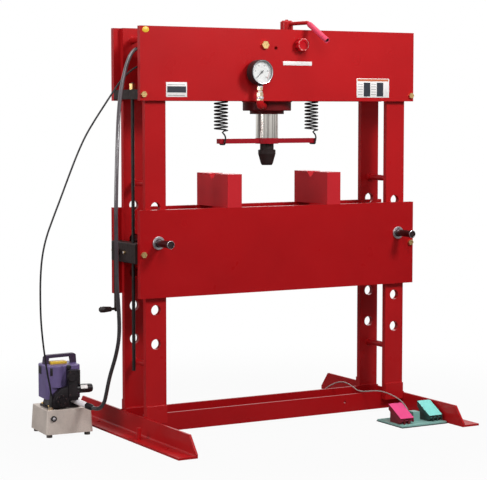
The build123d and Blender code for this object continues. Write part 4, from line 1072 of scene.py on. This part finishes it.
# Lever, knob, pins
def lever_sleeve():
    """The thicker tube pushed over the lever's sloping end, open at its end."""
    turn = radians(8)
    slope = radians(32)
    arm = 0.150
    bend = Vector((0.105 + arm * sin(turn), -arm * cos(turn), 1.828))
    way = Vector((cos(slope) * sin(turn), -cos(slope) * cos(turn), -sin(slope)))
    start = 0.012
    reach = 0.162 - start
    profile = [(0, 0.0094), (0, 0.0112), (0.003, 0.0126), (reach - 0.001, 0.0126), (reach, 0.0120)]
    profile += [(reach, 0.0104), (reach - 0.001, 0.0098), (reach - 0.040, 0.0096)]
    bm = bmesh.new()
    add_ring(bm, bend + way * start, way, profile, 40)
    add_mesh("lever_sleeve", bm, "lever_red", "lever")
    # Painted shade: a black disc just inside the sleeve's open end.
    shade_disc_r = 0.0095
    bm = bmesh.new()
    add_turned(bm, bend + way * (start + reach - 0.006), way, [(0, shade_disc_r), (0.001, shade_disc_r)], 32)
    add_mesh("lever_sleeve_painted_shade", bm, "plastic", "lever")


def knob_edge():
    """A painted highlight: a light pink ring round the knob's face, wider on each lobe."""
    x, _, z = middle("release_knob")
    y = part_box("release_knob")[0][1] + 0.0003
    lobes = 8
    steps = 160
    line = []
    size = []
    for n in range(steps + 1):
        a = 2 * pi * n / steps
        lobe = cos(lobes * (a + pi / lobes))
        r = 0.0252 + 0.0014 * lobe
        line.append((x + r * cos(a), y, z + r * sin(a)))
        size.append(0.0010 + 0.0005 * lobe)
    wire_mesh("knob_edge", line, size, "knob_highlight_pink", "knob", 8)


def table_pins():
    """The turned pins as they look in front: a slimmer shank and a small head with a centre recess."""
    body_r = 0.019
    head_r = 0.0178
    shorter = 0.019      # than the solid pin
    ring_front = -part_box("pin_rings")[0][1]
    for side in ("left", "right"):
        node = "table_pin_" + side
        low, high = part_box(node)
        x, _, z = middle(node)
        front = -low[1] - shorter
        tail = -high[1]
        profile = [(tail, body_r - 0.002), (tail + 0.002, body_r), (ring_front - 0.001, body_r)]
        profile += [(ring_front + 0.003, 0.0158), (front - 0.017, 0.0155), (front - 0.016, head_r)]
        profile += [(front - 0.0015, head_r), (front, 0.0163), (front, 0.0120), (front - 0.003, 0.0110)]
        bm = bmesh.new()
        add_turned(bm, (x, 0, z), FORWARD, profile, 48)
        bmesh.ops.recalc_face_normals(bm, faces=bm.faces)
        piece = add_mesh(node + "_turned", bm, "pin", "pin_" + side, 30)
        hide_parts(node)
        # Painted highlight: a bright steel ring round the front edge of each pin's head.
        rim = [(front - 0.0030, 0.0170), (front - 0.0030, 0.0180), (front - 0.0006, 0.0172)]
        rim += [(front + 0.0001, 0.0160), (front - 0.0006, 0.0150)]
        bm = bmesh.new()
        add_ring(bm, (x, 0, z), FORWARD, rim, 48)
        add_mesh(node + "_painted_highlight_rim", bm, "steel", "pin_" + side)


# Foot switch
def base_edge():
    """The rubber strip round the foot of the switch's base, and two ribs pressed in its top."""
    low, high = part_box("pedal_base")
    proud = 0.0012
    strip_low, strip_high = 0.0002, 0.0042
    bm = bmesh.new()
    corner_low = (low[0] - proud, low[1] - proud, strip_low)
    corner_high = (high[0] + proud, high[1] + proud, strip_high)
    add_slab(bm, corner_low, corner_high, 0.0008)
    add_mesh("pedal_base_strip", bm, "plastic", "frame")
    top = 0.010
    inset = 0.012
    half_rib = 0.003
    bm = bmesh.new()
    for y in (low[1] + inset, high[1] - inset):
        rib_low = (low[0] + inset, y - half_rib, top - 0.001)
        rib_high = (high[0] - inset, y + half_rib, top + 0.0015)
        add_slab(bm, rib_low, rib_high, 0.001)
    add_mesh("pedal_base_ribs", bm, "pedal_base", "frame")


# Cords: the same routes as their solids, in millimetres
HOSE = [
    (-880, 16, 134), (-871, -11, 129.5), (-862, -40, 139), (-858, -68, 166), (-856, -84, 206),
    (-851, -108, 284), (-838, -150, 384), (-843, -195, 477), (-865, -235, 590), (-886, -262, 701),
    (-893, -275, 849), (-897, -280, 996), (-888, -268, 1142), (-865, -232, 1309), (-836, -185, 1434),
    (-803, -138, 1519), (-769, -98, 1584), (-734, -60, 1641), (-699, -28, 1684), (-652, 8, 1706),
    (-590, 32, 1700), (-500, 48, 1672), (-390, 56, 1660), (-290, 58, 1676), (-200, 26, 1689),
    (-156, 0, 1682), (-114, 0, 1682),
]
CABLE = [
    (-1029, 116.5, 150), (-1029, 116.5, 180), (-1038, 104, 222), (-1053, 90, 265), (-1067, 75, 315),
    (-1081, 60, 370), (-1096, 45, 440), (-1110, 30, 530), (-1116, 20, 621), (-1118, 12, 712),
    (-1113, 6, 802), (-1096, 1, 886), (-1066, -5, 968), (-1030, -10, 1058), (-994, -14, 1150),
    (-958, -19, 1240), (-920, -25, 1322), (-882, -31, 1384), (-843, -36, 1442), (-801, -42, 1504),
    (-761, -48, 1561), (-722, -58, 1602), (-684, -70, 1626), (-646, -82, 1636), (-608, -90, 1632),
    (-576, -90, 1632),
]
PEDAL_CABLE = [
    (552, -376, 44), (552, -358, 44), (554, -336, 62), (549, -304, 87), (538, -260, 104),
    (524, -205, 116), (509, -160, 117), (488, -120, 110), (455, -88, 107), (450, -45, 124),
    (444, 0, 137), (433, 36, 138), (416, 68, 127), (398, 102, 104), (376, 128, 70), (346, 142, 34),
    (300, 147, 10), (244, 152.5, 4), (184, 157, 3), (124, 160.5, 3), (64, 163, 3), (4, 164.5, 3),
    (-56, 165, 3), (-116, 166.5, 3), (-176, 169, 3), (-236, 172.5, 3), (-296, 177, 3), (-356, 185, 3),
    (-414, 200, 3), (-468, 234, 3), (-518, 276, 3), (-560, 326, 3), (-594, 382, 3), (-620, 442, 3),
    (-640, 504, 3), (-654, 564, 3), (-674, 620, 3), (-714, 658, 3), (-768, 668, 3), (-820, 648, 3),
    (-862, 608, 3), (-894, 556, 3), (-918, 490, 3), (-930, 432, 3), (-938, 388, 6), (-941, 362, 26),
    (-941, 346, 50), (-940, 327, 60), (-940.5, 307, 60),
]


def cords():
    """Each cord on its solid's route, with its length in metres, its stiffness and its lay."""
    rows = (
        ("hydraulic_hose", HOSE, 17, "hose", 2.37, "stiff", "hanging"),
        ("control_cable", CABLE, 8, "cable", 1.73, "stiff", "hanging"),
        ("pedal_cable", PEDAL_CABLE, 5, "thin_cable", 2.47, "medium", "loose"),
    )
    for node, route, diameter, look, length, stiffness, lay in rows:
        cord = strand(node + "_line", route, diameter, look, "frame")
        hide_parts(node)


# Stage
def backdrop():
    """A wide pale floor that fades into the white background away from the press."""
    mesh = bpy.data.meshes.new("floor")
    half = 60
    corners = [(-half, -half, 0), (half, -half, 0), (half, half, 0), (-half, half, 0)]
    mesh.from_pydata(corners, [], [(0, 1, 2, 3)])
    floor = bpy.data.objects.new("floor", mesh)
    bpy.context.scene.collection.objects.link(floor)
    material = bpy.data.materials.new("pale_floor")
    material.use_nodes = True
    tree = material.node_tree
    tree.nodes.clear()
    add = tree.nodes.new
    output = add("ShaderNodeOutputMaterial")
    diffuse = add("ShaderNodeBsdfDiffuse")
    diffuse.inputs["Color"].default_value = (0.3, 0.3, 0.3, 1)
    glow = add("ShaderNodeEmission")
    rays = add("ShaderNodeLightPath")
    place = add("ShaderNodeTexCoord")
    length = add("ShaderNodeVectorMath")
    length.operation = "LENGTH"
    fade = add("ShaderNodeMapRange")
    fade.interpolation_type = "SMOOTHSTEP"
    for socket, value in (("From Min", 0.9), ("From Max", 2.6), ("To Min", 0.95), ("To Max", 1.0)):
        fade.inputs[socket].default_value = value
    seen = add("ShaderNodeMath")
    seen.operation = "MULTIPLY"
    mix = add("ShaderNodeMixShader")
    link = tree.links.new
    link(place.outputs["Object"], length.inputs[0])
    link(length.outputs["Value"], fade.inputs["Value"])
    link(fade.outputs["Result"], seen.inputs[0])
    link(rays.outputs["Is Camera Ray"], seen.inputs[1])
    link(seen.outputs[0], mix.inputs[0])
    link(diffuse.outputs[0], mix.inputs[1])
    link(glow.outputs[0], mix.inputs[2])
    link(mix.outputs[0], output.inputs[0])
    mesh.materials.append(material)


def world():
    """White to the camera and through glass, grey in gloss, and a plain dim sky as light."""
    sky = bpy.data.worlds.new("studio")
    bpy.context.scene.world = sky
    sky.use_nodes = True
    tree = sky.node_tree
    light = tree.nodes["Background"]
    add = tree.nodes.new
    link = tree.links.new
    rays = add("ShaderNodeLightPath")
    clear = add("ShaderNodeMath")
    clear.operation = "MAXIMUM"
    link(rays.outputs["Is Camera Ray"], clear.inputs[0])
    link(rays.outputs["Is Transmission Ray"], clear.inputs[1])
    sky_light, sky_gloss, sky_seen = 0.18, 0.75, 1.0
    gloss = add("ShaderNodeMapRange")
    gloss.inputs["To Min"].default_value = sky_light
    gloss.inputs["To Max"].default_value = sky_gloss
    link(rays.outputs["Is Glossy Ray"], gloss.inputs["Value"])
    seen = add("ShaderNodeMapRange")
    seen.inputs["To Max"].default_value = sky_seen
    link(gloss.outputs["Result"], seen.inputs["To Min"])
    link(clear.outputs[0], seen.inputs["Value"])
    link(seen.outputs["Result"], light.inputs["Strength"])
    light.inputs["Color"].default_value = (1, 1, 1, 1)


def lamp(name, target, direction, distance, size, power):
    light = bpy.data.lights.new(name, "AREA")
    light.shape = "SQUARE"
    light.size = size
    light.energy = power
    lamp_object = bpy.data.objects.new(name, light)
    way = Vector(direction).normalized()
    lamp_object.location = Vector(target) + way * distance
    lamp_object.rotation_euler = way.to_track_quat("Z", "Y").to_euler()
    bpy.context.scene.collection.objects.link(lamp_object)


def studio():
    """A key from the front right, a light from the front left, a top light, a side and a back fill."""
    lamp("key", (0, 0, 1.4), (0.36, -1.0, 0.60), 3.7, 0.9, 82)
    lamp("front", (0, 0, 1.5), (-0.32, -0.86, 0.40), 3.55, 1.2, 28)
    lamp("top", (0, -0.1, 0), (0, -0.03, 1.0), 4.2, 2.0, 36)
    lamp("fill", (0, 0, 0.9), (-1.0, -0.10, 0.32), 5.0, 2.0, 80)
    lamp("back", (0, 0, 1.0), (0.45, 1.0, 0.55), 5.0, 2.0, 60)


def camera():
    """The photograph's view: low, from the front left, with a long lens."""
    look_down = 4.489
    turn_right = 29.66
    data = bpy.data.cameras.new("camera")
    data.sensor_width = 36
    data.sensor_fit = "HORIZONTAL"
    data.lens = 122.0
    data.clip_end = 200
    eye = bpy.data.objects.new("camera", data)
    eye.location = (-3.844, -6.534, 1.4326)
    eye.rotation_euler = (radians(90 - look_down), 0, radians(-turn_right))
    bpy.context.scene.collection.objects.link(eye)
    bpy.context.scene.camera = eye


camera()
cords()
springs()
lift_thread()
gauge_face()
gauge_trim()
lever_sleeve()
knob_edge()
table_pins()
base_edge()
head_plates()
welds()
pump_trim()
backdrop()
world()
studio()
bpy.context.scene.view_settings.view_transform = "Standard"
